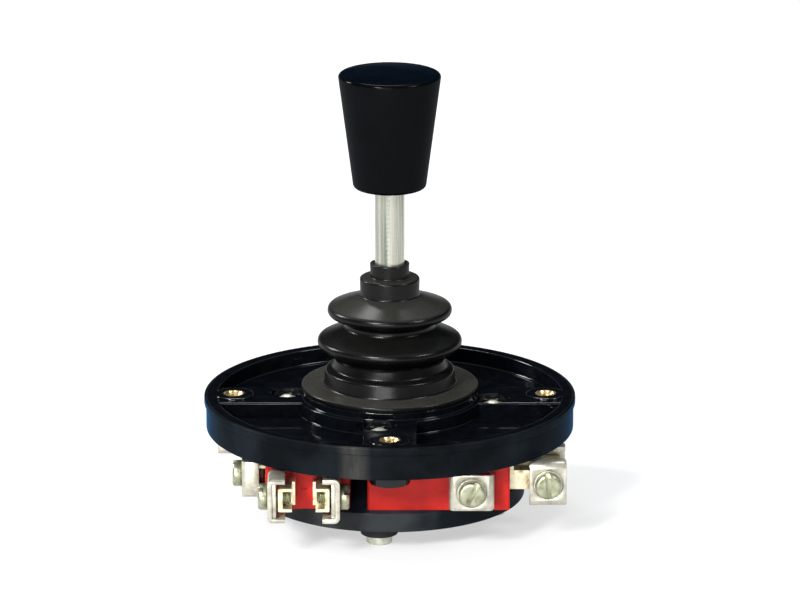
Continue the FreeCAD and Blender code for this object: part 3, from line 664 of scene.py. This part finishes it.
# Glass-filled polyester: a little cloudy, with the mould's fine grain and a slight sheen.
red, tree, shader, on_piece = new_finish("moulded_red_polyester")
shader.inputs["Specular IOR Level"].default_value = 0.25
cloud = add(tree, "ShaderNodeTexNoise", {"Scale": 1 / (4 * MM), "Detail": 5.0, "Roughness": 0.6},
            {"Vector": on_piece})
tint = add(tree, "ShaderNodeValToRGB", links={"Fac": cloud.outputs["Fac"]})
tint.color_ramp.elements[0].position = 0.3
tint.color_ramp.elements[0].color = linear("#b0140c")
tint.color_ramp.elements[1].position = 0.75
tint.color_ramp.elements[1].color = linear("#c61c12")
speck = add(tree, "ShaderNodeTexNoise", {"Scale": 1 / (0.35 * MM), "Detail": 3.0}, {"Vector": on_piece})
polish = add(tree, "ShaderNodeMapRange", {"To Min": 0.38, "To Max": 0.58}, {"Value": speck.outputs["Fac"]})
grain = add(tree, "ShaderNodeBump", {"Strength": 0.2, "Distance": 0.03 * MM},
            {"Height": speck.outputs["Fac"]})
tree.links.new(tint.outputs["Color"], shader.inputs["Base Color"])
tree.links.new(polish.outputs["Result"], shader.inputs["Roughness"])
tree.links.new(grain.outputs["Normal"], shader.inputs["Normal"])
for side in SIDES:
    dress(nodes[side + "_contact_block"], red)


# Terminal strips. Bent nickel plated brass: a tapped channel that the clamp screw runs in, and for the
# forks a neck back to the block's nose. They carry on into the blocks, so the frame's own shapes stay.

# Nickel plated brass: bright and warm, and brassy where the plating is thin.
nickel, tree, shader, on_piece = new_finish("nickel_plated_brass")
shader.inputs["Metallic"].default_value = 0.88
bloom = add(tree, "ShaderNodeTexNoise", {"Scale": 1 / (1.8 * MM), "Detail": 5.0, "Roughness": 0.6},
            {"Vector": on_piece})
tint = add(tree, "ShaderNodeValToRGB", links={"Fac": bloom.outputs["Fac"]})
tint.color_ramp.elements[0].position = 0.32
tint.color_ramp.elements[0].color = linear("#b3935a")
tint.color_ramp.elements[1].position = 0.7
tint.color_ramp.elements[1].color = linear("#f4eed8")
tint.color_ramp.elements.new(0.44).color = linear("#ddd3ac")
polish = add(tree, "ShaderNodeMapRange", {"To Min": 0.26, "To Max": 0.44}, {"Value": bloom.outputs["Fac"]})
marks = add(tree, "ShaderNodeBump", {"Strength": 0.2, "Distance": 0.05 * MM},
            {"Height": bloom.outputs["Fac"]})
tree.links.new(tint.outputs["Color"], shader.inputs["Base Color"])
tree.links.new(polish.outputs["Result"], shader.inputs["Roughness"])
tree.links.new(marks.outputs["Normal"], shader.inputs["Normal"])
for side in SIDES:
    dress(nodes[side + "_terminal_strips"], nickel)


# Wire clamps. Pressed steel saddles, nickel plated: a square plate under the screw's head, with two
# edges bent back round the channel, two corners snipped off, and a pad that presses on the wire.
TERMINAL_Z = -15.7

# The three terminals of the front block: their places in x and y, and whether they face out or in.
STATIONS = {"face": (21.6, -33.0, 1), "outer": (42.0, -25.8, 1), "inner": (42.0, -19.5, -1)}

# A clamp's and its pad's width, height and thickness.
CLAMP = (9.8, 12.0, 1.2)
PAD = (8.6, 9.5, 1.1)
CLAMP_STAND = 6.4
CLAMP_LIP = 4.6
CLAMP_CORNER = 1.3
CLAMP_BEND_R = 1.6
CLAMP_HOLE_R = 2.3
HEAD_REST = (4.0, 0.45)
SNIP_REACH = (-9, 1)


def at_station(obj, name, station, side, lies_down=False):
    """A copy of a terminal piece, seated at one terminal of one block, on its side if it lies down."""
    u, y, outward = STATIONS[station]
    piece = copy_of(obj, name)
    if lies_down:
        place(piece, turn=90, axis="Y")
    if outward < 0:
        place(piece, turn=180)
    place(piece, move=(u, y, TERMINAL_Z))
    place(piece, turn=SIDES[side])
    return piece


# The saddle starts as a folded strip's inner face, is given its thickness and has its bends rounded.
deselect()
bpy.ops.mesh.primitive_plane_add(size=1)
clamp = begin("clamp")
inner_half = CLAMP[1] / 2 - CLAMP[2]
inner_lip = CLAMP_LIP - CLAMP[2]
fold_y = -(CLAMP_STAND - CLAMP[2])
bpy.ops.transform.resize(value=(CLAMP[0] * MM, inner_lip * MM, 1))
bpy.ops.transform.translate(value=(0, (fold_y + inner_lip / 2) * MM, inner_half * MM))
bpy.ops.mesh.select_mode(type="EDGE")


def pick_edges(obj, test):
    """Select the edges of the piece in hand whose two ends pass a test on their place in millimetres."""
    bpy.ops.mesh.select_all(action="DESELECT")
    bpy.ops.object.mode_set(mode="OBJECT")
    for edge in obj.data.edges:
        ends = [obj.data.vertices[i].co / MM for i in edge.vertices]
        edge.select = all(test(end) for end in ends)
    bpy.ops.object.mode_set(mode="EDIT")


pick_edges(clamp, lambda p: abs(p.y - fold_y) < 0.01)
bpy.ops.mesh.extrude_region_move(TRANSFORM_OT_translate={"value": (0, 0, -2 * inner_half * MM)})
bpy.ops.mesh.extrude_region_move(TRANSFORM_OT_translate={"value": (0, inner_lip * MM, 0)})
pick_edges(clamp, lambda p: abs(p.y - fold_y) < 0.01 and abs(abs(p.z) - inner_half) < 0.01)
bpy.ops.mesh.bevel(offset=(CLAMP_BEND_R - CLAMP[2]) * MM, segments=4, affect="EDGES")
bpy.ops.mesh.select_all(action="SELECT")
bpy.ops.mesh.normals_make_consistent(inside=False)
bpy.ops.object.mode_set(mode="OBJECT")
apply_modifier(clamp, "SOLIDIFY", thickness=CLAMP[2] * MM, offset=1.0, use_even_offset=True)
for end in (-1, 1):
    snip = block_piece("snip", (-CLAMP_CORNER, SNIP_REACH[0], -CLAMP_CORNER),
                       (CLAMP_CORNER, SNIP_REACH[1], CLAMP_CORNER))
    place(snip, turn=45, axis="Y")
    place(snip, move=(CLAMP[0] / 2 + CLAMP_CORNER / 2, 0, end * (CLAMP[1] / 2 + CLAMP_CORNER / 2)))
    carve(clamp, snip)
pad = block_piece("pad", (-PAD[0] / 2, fold_y, -PAD[1] / 2), (PAD[0] / 2, fold_y + PAD[2], PAD[1] / 2))

# The screw's head is let into a shallow ring pressed round the hole.
ring_floor = CLAMP_STAND - HEAD_REST[1]
ring = turned_piece("ring", [
    (HEAD[0] - 0.1, ring_floor),
    (HEAD_REST[0], ring_floor),
    (HEAD_REST[0], CLAMP_STAND + 1),
    (HEAD[0] - 0.1, CLAMP_STAND + 1),
], sides=48, solid=False)
place(ring, turn=90, axis="X")
carve(clamp, ring)
for piece in (clamp, pad):
    hole = turned_piece("hole", [(CLAMP_HOLE_R, 3.0), (CLAMP_HOLE_R, 8.0)], sides=40)
    place(hole, turn=90, axis="X")
    carve(piece, hole)
    round_edges(piece, 0.16, sharp=40)
clamp = joined([clamp, pad], "clamp")

# Nickel plated steel: bright and nearly neutral, a little uneven from the pressing.
plated, tree, shader, on_piece = new_finish("nickel_plated_steel")
shader.inputs["Metallic"].default_value = 0.78
bloom = add(tree, "ShaderNodeTexNoise", {"Scale": 1 / (2.5 * MM), "Detail": 5.0, "Roughness": 0.6},
            {"Vector": on_piece})
tint = add(tree, "ShaderNodeValToRGB", links={"Fac": bloom.outputs["Fac"]})
tint.color_ramp.elements[0].position = 0.3
tint.color_ramp.elements[0].color = linear("#9c998b")
tint.color_ramp.elements[1].position = 0.7
tint.color_ramp.elements[1].color = linear("#d2cebe")
polish = add(tree, "ShaderNodeMapRange", {"To Min": 0.28, "To Max": 0.46}, {"Value": bloom.outputs["Fac"]})
marks = add(tree, "ShaderNodeBump", {"Strength": 0.25, "Distance": 0.06 * MM},
            {"Height": bloom.outputs["Fac"]})
tree.links.new(tint.outputs["Color"], shader.inputs["Base Color"])
tree.links.new(polish.outputs["Result"], shader.inputs["Roughness"])
tree.links.new(marks.outputs["Normal"], shader.inputs["Normal"])
dress(clamp, plated)
for side in SIDES:
    clamps = [at_station(clamp, f"{side}_{s}_clamp", s, side, s == "face") for s in STATIONS]
    clamps = joined(clamps, side + "_saddle_clamps")
    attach(clamps, "housing")
    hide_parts(side + "_wire_clamps")
bpy.data.objects.remove(clamp)


# Terminal screws. M4 cheese heads with a wide driver slot, each left at the angle it was tightened to,
# and a threaded shank whose end shows in the channel behind.
SLOT_TURNS = {"front": (25, -4, 60), "right": (-30, 75, 15), "back": (50, -12, 95), "left": (10, 40, -55)}
SHANK_END = 0.3
WIDE_SLOT = (1.3, 1.4)
HEAD_EASE = 0.85

head_top = CLAMP_STAND + HEAD[1]
cap = turned_piece("cap", eased([
    (HEAD[0] - 0.1, CLAMP_STAND, 0),
    (HEAD[0], CLAMP_STAND + 0.15, 0),
    (HEAD[0], head_top, HEAD_EASE),
    (HEAD[0] - 1, head_top, 0),
]), sides=64)
slot_cut = block_piece("slot", (-WIDE_SLOT[0] / 2, -5, head_top - WIDE_SLOT[1]),
                       (WIDE_SLOT[0] / 2, 5, head_top + 1))
carve(cap, slot_cut)
round_edges(cap, 0.1, sharp=40)
shank = turned_piece("shank", [(M4_R - 0.5, SHANK_END)] + screw_thread(SHANK_END + 0.5, CLAMP_STAND - 1.2)
                     + [(M4_R, CLAMP_STAND + 0.1)], sides=32)
smooth(shank, 60)
terminal_screw = joined([cap, shank], "terminal_screw")
place(terminal_screw, turn=90, axis="X")

# Passivated steel: the strips' patchy plating again, dulled to olive grey.
passivated = nickel.copy()
passivated.name = "passivated_steel"
ramp = passivated.node_tree.nodes["Principled BSDF"].inputs["Base Color"].links[0].from_node.color_ramp
for stop, tone in zip(ramp.elements, ("#838365", "#999b82", "#b6b89e")):
    stop.color = linear(tone)
dress(terminal_screw, passivated)
for side in SIDES:
    screws = []
    for station, slot_turn in zip(STATIONS, SLOT_TURNS[side]):
        screw = copy_of(terminal_screw, f"{side}_{station}_screw")
        place(screw, turn=slot_turn, axis="Y")
        screws.append(at_station(screw, screw.name + "_seated", station, side))
        bpy.data.objects.remove(screw)
    screws = joined(screws, side + "_clamp_screws")
    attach(screws, "housing")
    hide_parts(side + "_terminal_screws")
bpy.data.objects.remove(terminal_screw)


# Rubber boot. One moulded nitrile bellows, from the neck that grips the lever to the disc under the
# panel. It is made in two pieces that meet in the lower waist.
BOOT_WALL = 1.3

# Each stretch's radius, top and foot. The collar has two radii, and a waist and the step one height.
NECK = (5.3, 36.5, 32.6)
COLLAR = (8.05, 7.8, 27.8)
UPPER_FOLD = (16.7, 24.6, 22.5)
UPPER_WAIST = (11.8, 19.0)
LOWER_FOLD = (19.4, 15.9, 13.7)
LOWER_WAIST = (14.8, 10.0)
BOOT_STEP = (17.3, 7.3)
BOOT_BASE = (23.8, 3.0, 1.5)
BOOT_MOUTH_R = 14.6
ROD_R = 4.0

upper_boot = turned_piece("boot_upper", eased([
    (LOWER_WAIST[0], LOWER_WAIST[1], 0),
    (LOWER_WAIST[0], LOWER_WAIST[1] + 1.0, 0.6),
    (LOWER_FOLD[0], LOWER_FOLD[2], 1.0),
    (LOWER_FOLD[0], LOWER_FOLD[1], 1.1),
    (UPPER_WAIST[0] + 0.2, UPPER_WAIST[1] - 0.3, 0.7),
    (UPPER_WAIST[0], UPPER_WAIST[1] + 1.4, 0.6),
    (UPPER_FOLD[0], UPPER_FOLD[2], 1.0),
    (UPPER_FOLD[0], UPPER_FOLD[1], 1.1),
    (COLLAR[1] + 0.1, COLLAR[2] - 0.1, 0.5),
    (COLLAR[0], NECK[2], 0.7),
    (NECK[0] - 0.15, NECK[2] + 0.1, 0.4),
    (NECK[0], NECK[1], 0.35),
    (ROD_R + 0.35, NECK[1], 0.3),
    (ROD_R + 0.05, NECK[1] - 1.2, 0),
    (ROD_R + 0.05, NECK[2] - BOOT_WALL, 0),
    (COLLAR[1] - BOOT_WALL, NECK[2] - BOOT_WALL, 0.3),
    (COLLAR[1] - BOOT_WALL, COLLAR[2] - 0.5, 0.3),
    (UPPER_FOLD[0] - 2 * BOOT_WALL, UPPER_FOLD[1] - BOOT_WALL, 0.3),
    (UPPER_WAIST[0] - BOOT_WALL, UPPER_WAIST[1], 0.3),
    (LOWER_FOLD[0] - 2 * BOOT_WALL, LOWER_FOLD[1] - BOOT_WALL, 0.3),
    (LOWER_WAIST[0] - BOOT_WALL, LOWER_WAIST[1], 0),
]), sides=160, solid=False)
smooth(upper_boot, 50)
lower_boot = turned_piece("boot_lower", eased([
    (LOWER_WAIST[0] - BOOT_WALL, LOWER_WAIST[1], 0),
    (BOOT_STEP[0] - BOOT_WALL, BOOT_STEP[1] - BOOT_WALL, 0.3),
    (BOOT_STEP[0] - BOOT_WALL, BOOT_BASE[1] - 0.2, 0),
    (BOOT_MOUTH_R, BOOT_BASE[1] - 0.2, 0),
    (BOOT_MOUTH_R, BOOT_BASE[2], 0),
    (BOOT_BASE[0], BOOT_BASE[2], 0.2),
    (BOOT_BASE[0], BOOT_BASE[1], 0.6),
    (BOOT_STEP[0] + 0.4, BOOT_BASE[1], 0.9),
    (BOOT_STEP[0], BOOT_STEP[1], 0.7),
    (LOWER_WAIST[0] + 0.6, LOWER_WAIST[1] - 2.4, 0.6),
    (LOWER_WAIST[0], LOWER_WAIST[1], 0),
]), sides=160, solid=False)
smooth(lower_boot, 50)

# Moulded nitrile rubber: soot black, matt, with a dusty bloom that greys what faces up and a fine skin.
rubber, tree, shader, on_piece = new_finish("moulded_nitrile_rubber")
shader.inputs["Specular IOR Level"].default_value = 0.0
shader.inputs["Coat Weight"].default_value = 0.34
dust_and_highlight = add(tree, "ShaderNodeTexNoise", {"Scale": 1 / (5 * MM), "Detail": 7.0, "Roughness": 0.65},
           {"Vector": on_piece})
tint = add(tree, "ShaderNodeValToRGB", links={"Fac": dust_and_highlight.outputs["Fac"]})
tint.color_ramp.elements[0].position = 0.3
tint.color_ramp.elements[0].color = linear("#040405")
tint.color_ramp.elements[1].position = 0.75
tint.color_ramp.elements[1].color = linear("#0a0a0a")
facing = add(tree, "ShaderNodeNewGeometry")
upward = add(tree, "ShaderNodeSeparateXYZ", links={"Vector": facing.outputs["Normal"]})
lying = add(tree, "ShaderNodeMapRange", {"From Min": 0.55, "From Max": 0.95},
            {"Value": upward.outputs["Z"]})
level = add(tree, "ShaderNodeSeparateXYZ", links={"Vector": on_piece})

# Dust greys the base disc and the upper fold. What lies between them, under the upper fold, is held dark as
# painted shade.
storey = add(tree, "ShaderNodeMapRange", {"From Min": 0.0, "From Max": 40 * MM},
             {"Value": level.outputs["Z"]})
height_dust_and_shade = add(tree, "ShaderNodeValToRGB", links={"Fac": storey.outputs["Result"]})
height_dust_and_shade.color_ramp.elements[0].color = (1, 1, 1, 1)
height_dust_and_shade.color_ramp.elements[1].position = 1.0
height_dust_and_shade.color_ramp.elements[1].color = (0.6, 0.6, 0.6, 1)
for position, share in ((0.12, 1.0), (0.16, 0.1), (0.47, 0.12), (0.55, 0.8)):
    height_dust_and_shade.color_ramp.elements.new(position).color = (share, share, share, 1)
up_dust_and_shade = add(tree, "ShaderNodeMath", links={0: lying.outputs["Result"], 1: height_dust_and_shade.outputs["Color"]},
              operation="MULTIPLY")
patchy = add(tree, "ShaderNodeMapRange", {"To Min": 0.6, "To Max": 1.0}, {"Value": dust_and_highlight.outputs["Fac"]})
patchy_dust_and_shade = add(tree, "ShaderNodeMath", links={0: up_dust_and_shade.outputs[0], 1: patchy.outputs["Result"]},
                   operation="MULTIPLY")
dusted_and_shaded = add(tree, "ShaderNodeMix", {"B": linear("#34332f")},
             {"Factor": patchy_dust_and_shade.outputs[0], "A": tint.outputs["Color"]}, data_type="RGBA")
skin = add(tree, "ShaderNodeTexNoise", {"Scale": 1 / (0.4 * MM), "Detail": 4.0}, {"Vector": on_piece})
polish = add(tree, "ShaderNodeMapRange", {"To Min": 0.2, "To Max": 0.32}, {"Value": skin.outputs["Fac"]})
grain = add(tree, "ShaderNodeBump", {"Strength": 0.1, "Distance": 0.04 * MM},
            {"Height": skin.outputs["Fac"]})
tree.links.new(dusted_and_shaded.outputs["Result"], shader.inputs["Base Color"])
tree.links.new(polish.outputs["Result"], shader.inputs["Coat Roughness"])
tree.links.new(grain.outputs["Normal"], shader.inputs["Normal"])
for piece in (lower_boot, upper_boot):
    dress(piece, rubber)
    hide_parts("boot")
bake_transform(lower_boot)
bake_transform(upper_boot)


# Lever rod. An 8 mm zinc plated rod from the gimbal into the knob. What shows between the boot's neck
# and the knob is turned smooth. The faint feed marks of the turning are drawn wider apart than they are.
ROD_SPAN = (-6.5, 71.4)
ROD_CHAMFER = 0.6
MARKS_FROM = 30.0
MARK_PITCH = 1.25
MARK_DEPTH = 0.02

rings = [(ROD_R - ROD_CHAMFER, ROD_SPAN[0]), (ROD_R, ROD_SPAN[0] + ROD_CHAMFER), (ROD_R, MARKS_FROM)]
z = MARKS_FROM
while z < ROD_SPAN[1] - 2:
    rings += [(ROD_R - MARK_DEPTH, z + 0.45), (ROD_R - MARK_DEPTH, z + 0.62), (ROD_R, z + 1.07),
              (ROD_R, z + MARK_PITCH)]
    z += MARK_PITCH
rings.append((ROD_R - ROD_CHAMFER, ROD_SPAN[1]))
rod = turned_piece("plated_lever", rings, sides=72)
smooth(rod, 60)

# Brushed zinc: drawn lengthways, so its streaks of pale plating and olive passivation run up the rod.
brushed, tree, shader, on_piece = new_finish("brushed_zinc")
shader.inputs["Metallic"].default_value = 0.85
stretch = add(tree, "ShaderNodeMapping", {"Scale": (1.0, 1.0, 0.02)}, {"Vector": on_piece})
streak = add(tree, "ShaderNodeTexNoise", {"Scale": 1 / (1.6 * MM), "Detail": 4.0, "Roughness": 0.6},
             {"Vector": stretch.outputs[0]})
tint = add(tree, "ShaderNodeValToRGB", links={"Fac": streak.outputs["Fac"]})
tint.color_ramp.elements[0].position = 0.38
tint.color_ramp.elements[0].color = linear("#727a70")
tint.color_ramp.elements[1].position = 0.6
tint.color_ramp.elements[1].color = linear("#bdbcae")
polish = add(tree, "ShaderNodeMapRange", {"To Min": 0.2, "To Max": 0.34}, {"Value": streak.outputs["Fac"]})
marks = add(tree, "ShaderNodeBump", {"Strength": 0.3, "Distance": 0.04 * MM},
            {"Height": streak.outputs["Fac"]})
tree.links.new(tint.outputs["Color"], shader.inputs["Base Color"])
tree.links.new(polish.outputs["Result"], shader.inputs["Roughness"])
tree.links.new(marks.outputs["Normal"], shader.inputs["Normal"])
dress(rod, brushed)
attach(rod, "lever")
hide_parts("lever_rod")


# Knob. A tapered black phenolic knob, wider at the top, polished all over, with a rounded rim, a
# slightly crowned top and a brass insert in its foot.
KNOB_FOOT = (9.7, 57.4)
KNOB_HEAD = (13.8, 89.2)
KNOB_CROWN = 0.6
KNOB_EDGE = 0.9
KNOB_FOOT_EDGE = 1.2
KNOB_INSERT_R = 6.2

shoulder = KNOB_HEAD[1] - KNOB_CROWN
slope = (KNOB_HEAD[0] - KNOB_FOOT[0]) / (shoulder - KNOB_FOOT[1])
quarter = [math.radians(angle) for angle in range(0, 91, 15)]
foot_r = KNOB_FOOT[0] + slope * KNOB_FOOT_EDGE
rim_r = KNOB_HEAD[0] - slope * KNOB_EDGE
crown_edge = rim_r - KNOB_EDGE
section = [(KNOB_INSERT_R, KNOB_FOOT[1])]
for a in quarter:
    section.append((foot_r - KNOB_FOOT_EDGE * (1 - math.sin(a)),
                    KNOB_FOOT[1] + KNOB_FOOT_EDGE * (1 - math.cos(a))))
for a in quarter:
    section.append((rim_r - KNOB_EDGE * (1 - math.cos(a)), shoulder - KNOB_EDGE * (1 - math.sin(a))))
for share in (0.8, 0.6, 0.4, 0.2, 0.02):
    section.append((crown_edge * share, shoulder + KNOB_CROWN * (1 - share ** 2)))
knob = turned_piece("polished_knob", section, sides=160)
smooth(knob, 40)

# Polished phenolic: near black and glossy, with hairline scratches from hands and buffing, drawn coarser
# than they are so that they show.
gloss_phenolic, tree, shader, on_piece = new_finish("polished_phenolic")
shader.inputs["Specular IOR Level"].default_value = 0.0
shader.inputs["Coat Weight"].default_value = 0.09
shader.inputs["Coat IOR"].default_value = 1.55
# The faint blue sheen is a painted reflection.
shader.inputs["Sheen Weight"].default_value = 0.04
shader.inputs["Sheen Roughness"].default_value = 0.3
shader.inputs["Sheen Tint"].default_value = linear("#1f8ccf")
haze = add(tree, "ShaderNodeTexNoise", {"Scale": 1 / (6 * MM), "Detail": 6.0, "Roughness": 0.6},
           {"Vector": on_piece})
tint = add(tree, "ShaderNodeValToRGB", links={"Fac": haze.outputs["Fac"]})
tint.color_ramp.elements[0].color = linear("#020203")
tint.color_ramp.elements[1].color = linear("#06070a")
polish = add(tree, "ShaderNodeMapRange", {"From Min": 0.3, "From Max": 0.7, "To Min": 0.1, "To Max": 0.22},
             {"Value": haze.outputs["Fac"]})
stretch = add(tree, "ShaderNodeMapping", {"Scale": (1.0, 1.0, 0.06)}, {"Vector": on_piece})
scratch = add(tree, "ShaderNodeTexNoise", {"Scale": 1 / (0.5 * MM), "Detail": 3.0},
              {"Vector": stretch.outputs[0]})
marks = add(tree, "ShaderNodeBump", {"Strength": 0.04, "Distance": 0.02 * MM},
            {"Height": scratch.outputs["Fac"]})
tree.links.new(tint.outputs["Color"], shader.inputs["Base Color"])
tree.links.new(polish.outputs["Result"], shader.inputs["Coat Roughness"])
tree.links.new(marks.outputs["Normal"], shader.inputs["Normal"])
dress(knob, gloss_phenolic)
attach(knob, "lever")
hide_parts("knob")
dress(nodes["knob_insert"], brass)


# Mechanism. The gimbal, the stem, the sliders, their plungers and bridges sit under the boot and inside
# the blocks. The frame's shapes stay, in machined steel, sintered bronze, nylon and copper alloy.

# Each metal: its name, its dark and light tone, its least and most roughness, and the nodes made of it.
# The return springs below are coiled from the spring wire.
INNER_METALS = (
    ("machined_steel", "#8d8f92", "#b4b5b4", 0.28, 0.45,
     ("gimbal_ring", "outer_pivot_pins", "inner_pivot_pins", "lever_hub", "actuator_stem")),
    ("sintered_bronze", "#8a6234", "#b08850", 0.45, 0.6, ("outer_pivot_bushes", "inner_pivot_bushes")),
    ("copper_alloy", "#a8683c", "#d59a68", 0.25, 0.4, ("x_contact_bridges", "y_contact_bridges")),
    ("spring_wire", "#70716f", "#9b9b97", 0.25, 0.4, ()),
)
for name, dark, light, low, high, node_names in INNER_METALS:
    metal, tree, shader, on_piece = new_finish(name)
    shader.inputs["Metallic"].default_value = 1.0
    bloom = add(tree, "ShaderNodeTexNoise", {"Scale": 1 / (1.5 * MM), "Detail": 5.0}, {"Vector": on_piece})
    tint = add(tree, "ShaderNodeValToRGB", links={"Fac": bloom.outputs["Fac"]})
    tint.color_ramp.elements[0].color = linear(dark)
    tint.color_ramp.elements[1].color = linear(light)
    polish = add(tree, "ShaderNodeMapRange", {"To Min": low, "To Max": high},
                 {"Value": bloom.outputs["Fac"]})
    tree.links.new(tint.outputs["Color"], shader.inputs["Base Color"])
    tree.links.new(polish.outputs["Result"], shader.inputs["Roughness"])
    for node_name in node_names:
        dress(nodes[node_name], metal)

# Moulded nylon: milky white with a slight cloudiness, and a waxy half gloss.
nylon, tree, shader, on_piece = new_finish("moulded_nylon")
cloud = add(tree, "ShaderNodeTexNoise", {"Scale": 1 / (2 * MM), "Detail": 3.0}, {"Vector": on_piece})
tint = add(tree, "ShaderNodeValToRGB", links={"Fac": cloud.outputs["Fac"]})
tint.color_ramp.elements[0].color = linear("#cfcabb")
tint.color_ramp.elements[1].color = linear("#e6e2d6")
polish = add(tree, "ShaderNodeMapRange", {"To Min": 0.35, "To Max": 0.5}, {"Value": cloud.outputs["Fac"]})
tree.links.new(tint.outputs["Color"], shader.inputs["Base Color"])
tree.links.new(polish.outputs["Result"], shader.inputs["Roughness"])
for node_name in ("x_slider", "y_slider", "x_plungers", "y_plungers"):
    dress(nodes[node_name], nylon)


# Return springs. Four coils of spring wire, each between a contact bridge and its block's column.
COIL_R = 1.95
COIL_WIRE_R = 0.18
COIL_TURNS = 3.5
COIL_STEPS = 98
COIL_SPAN = (18.55, 23.5)
COIL_LEVEL = {"x": -13.4, "y": -16.4}

deselect()
bpy.ops.mesh.primitive_circle_add(vertices=10, radius=COIL_WIRE_R * MM)
coil = bpy.context.object
coil.name = "return_coil"
place(coil, turn=90, axis="X")
place(coil, move=(COIL_R, 0, COIL_SPAN[0] + COIL_WIRE_R))
apply_modifier(coil, "SCREW", axis="Z", angle=2 * math.pi * COIL_TURNS, iterations=1, steps=COIL_STEPS,
               render_steps=COIL_STEPS, screw_offset=(COIL_SPAN[1] - COIL_SPAN[0] - 2 * COIL_WIRE_R) * MM)
bpy.ops.object.mode_set(mode="EDIT")
bpy.ops.mesh.select_all(action="SELECT")
bpy.ops.mesh.fill_holes(sides=0)
bpy.ops.mesh.select_all(action="SELECT")
bpy.ops.mesh.normals_make_consistent(inside=False)
bpy.ops.object.mode_set(mode="OBJECT")
smooth(coil, 60)
place(coil, turn=90, axis="X")
dress(coil, bpy.data.materials["spring_wire"])
for axis, turn, side_x, side_y in (("y", 0, 0, -1), ("x", 90, 1, 0), ("y", 180, 0, 1), ("x", 270, -1, 0)):
    spring = copy_of(coil, f"{axis}_coil_{turn}")
    place(spring, move=(0, 0, COIL_LEVEL[axis]))
    place(spring, turn=turn)
    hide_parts(axis + "_return_springs")
    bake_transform(spring)
bpy.data.objects.remove(coil)
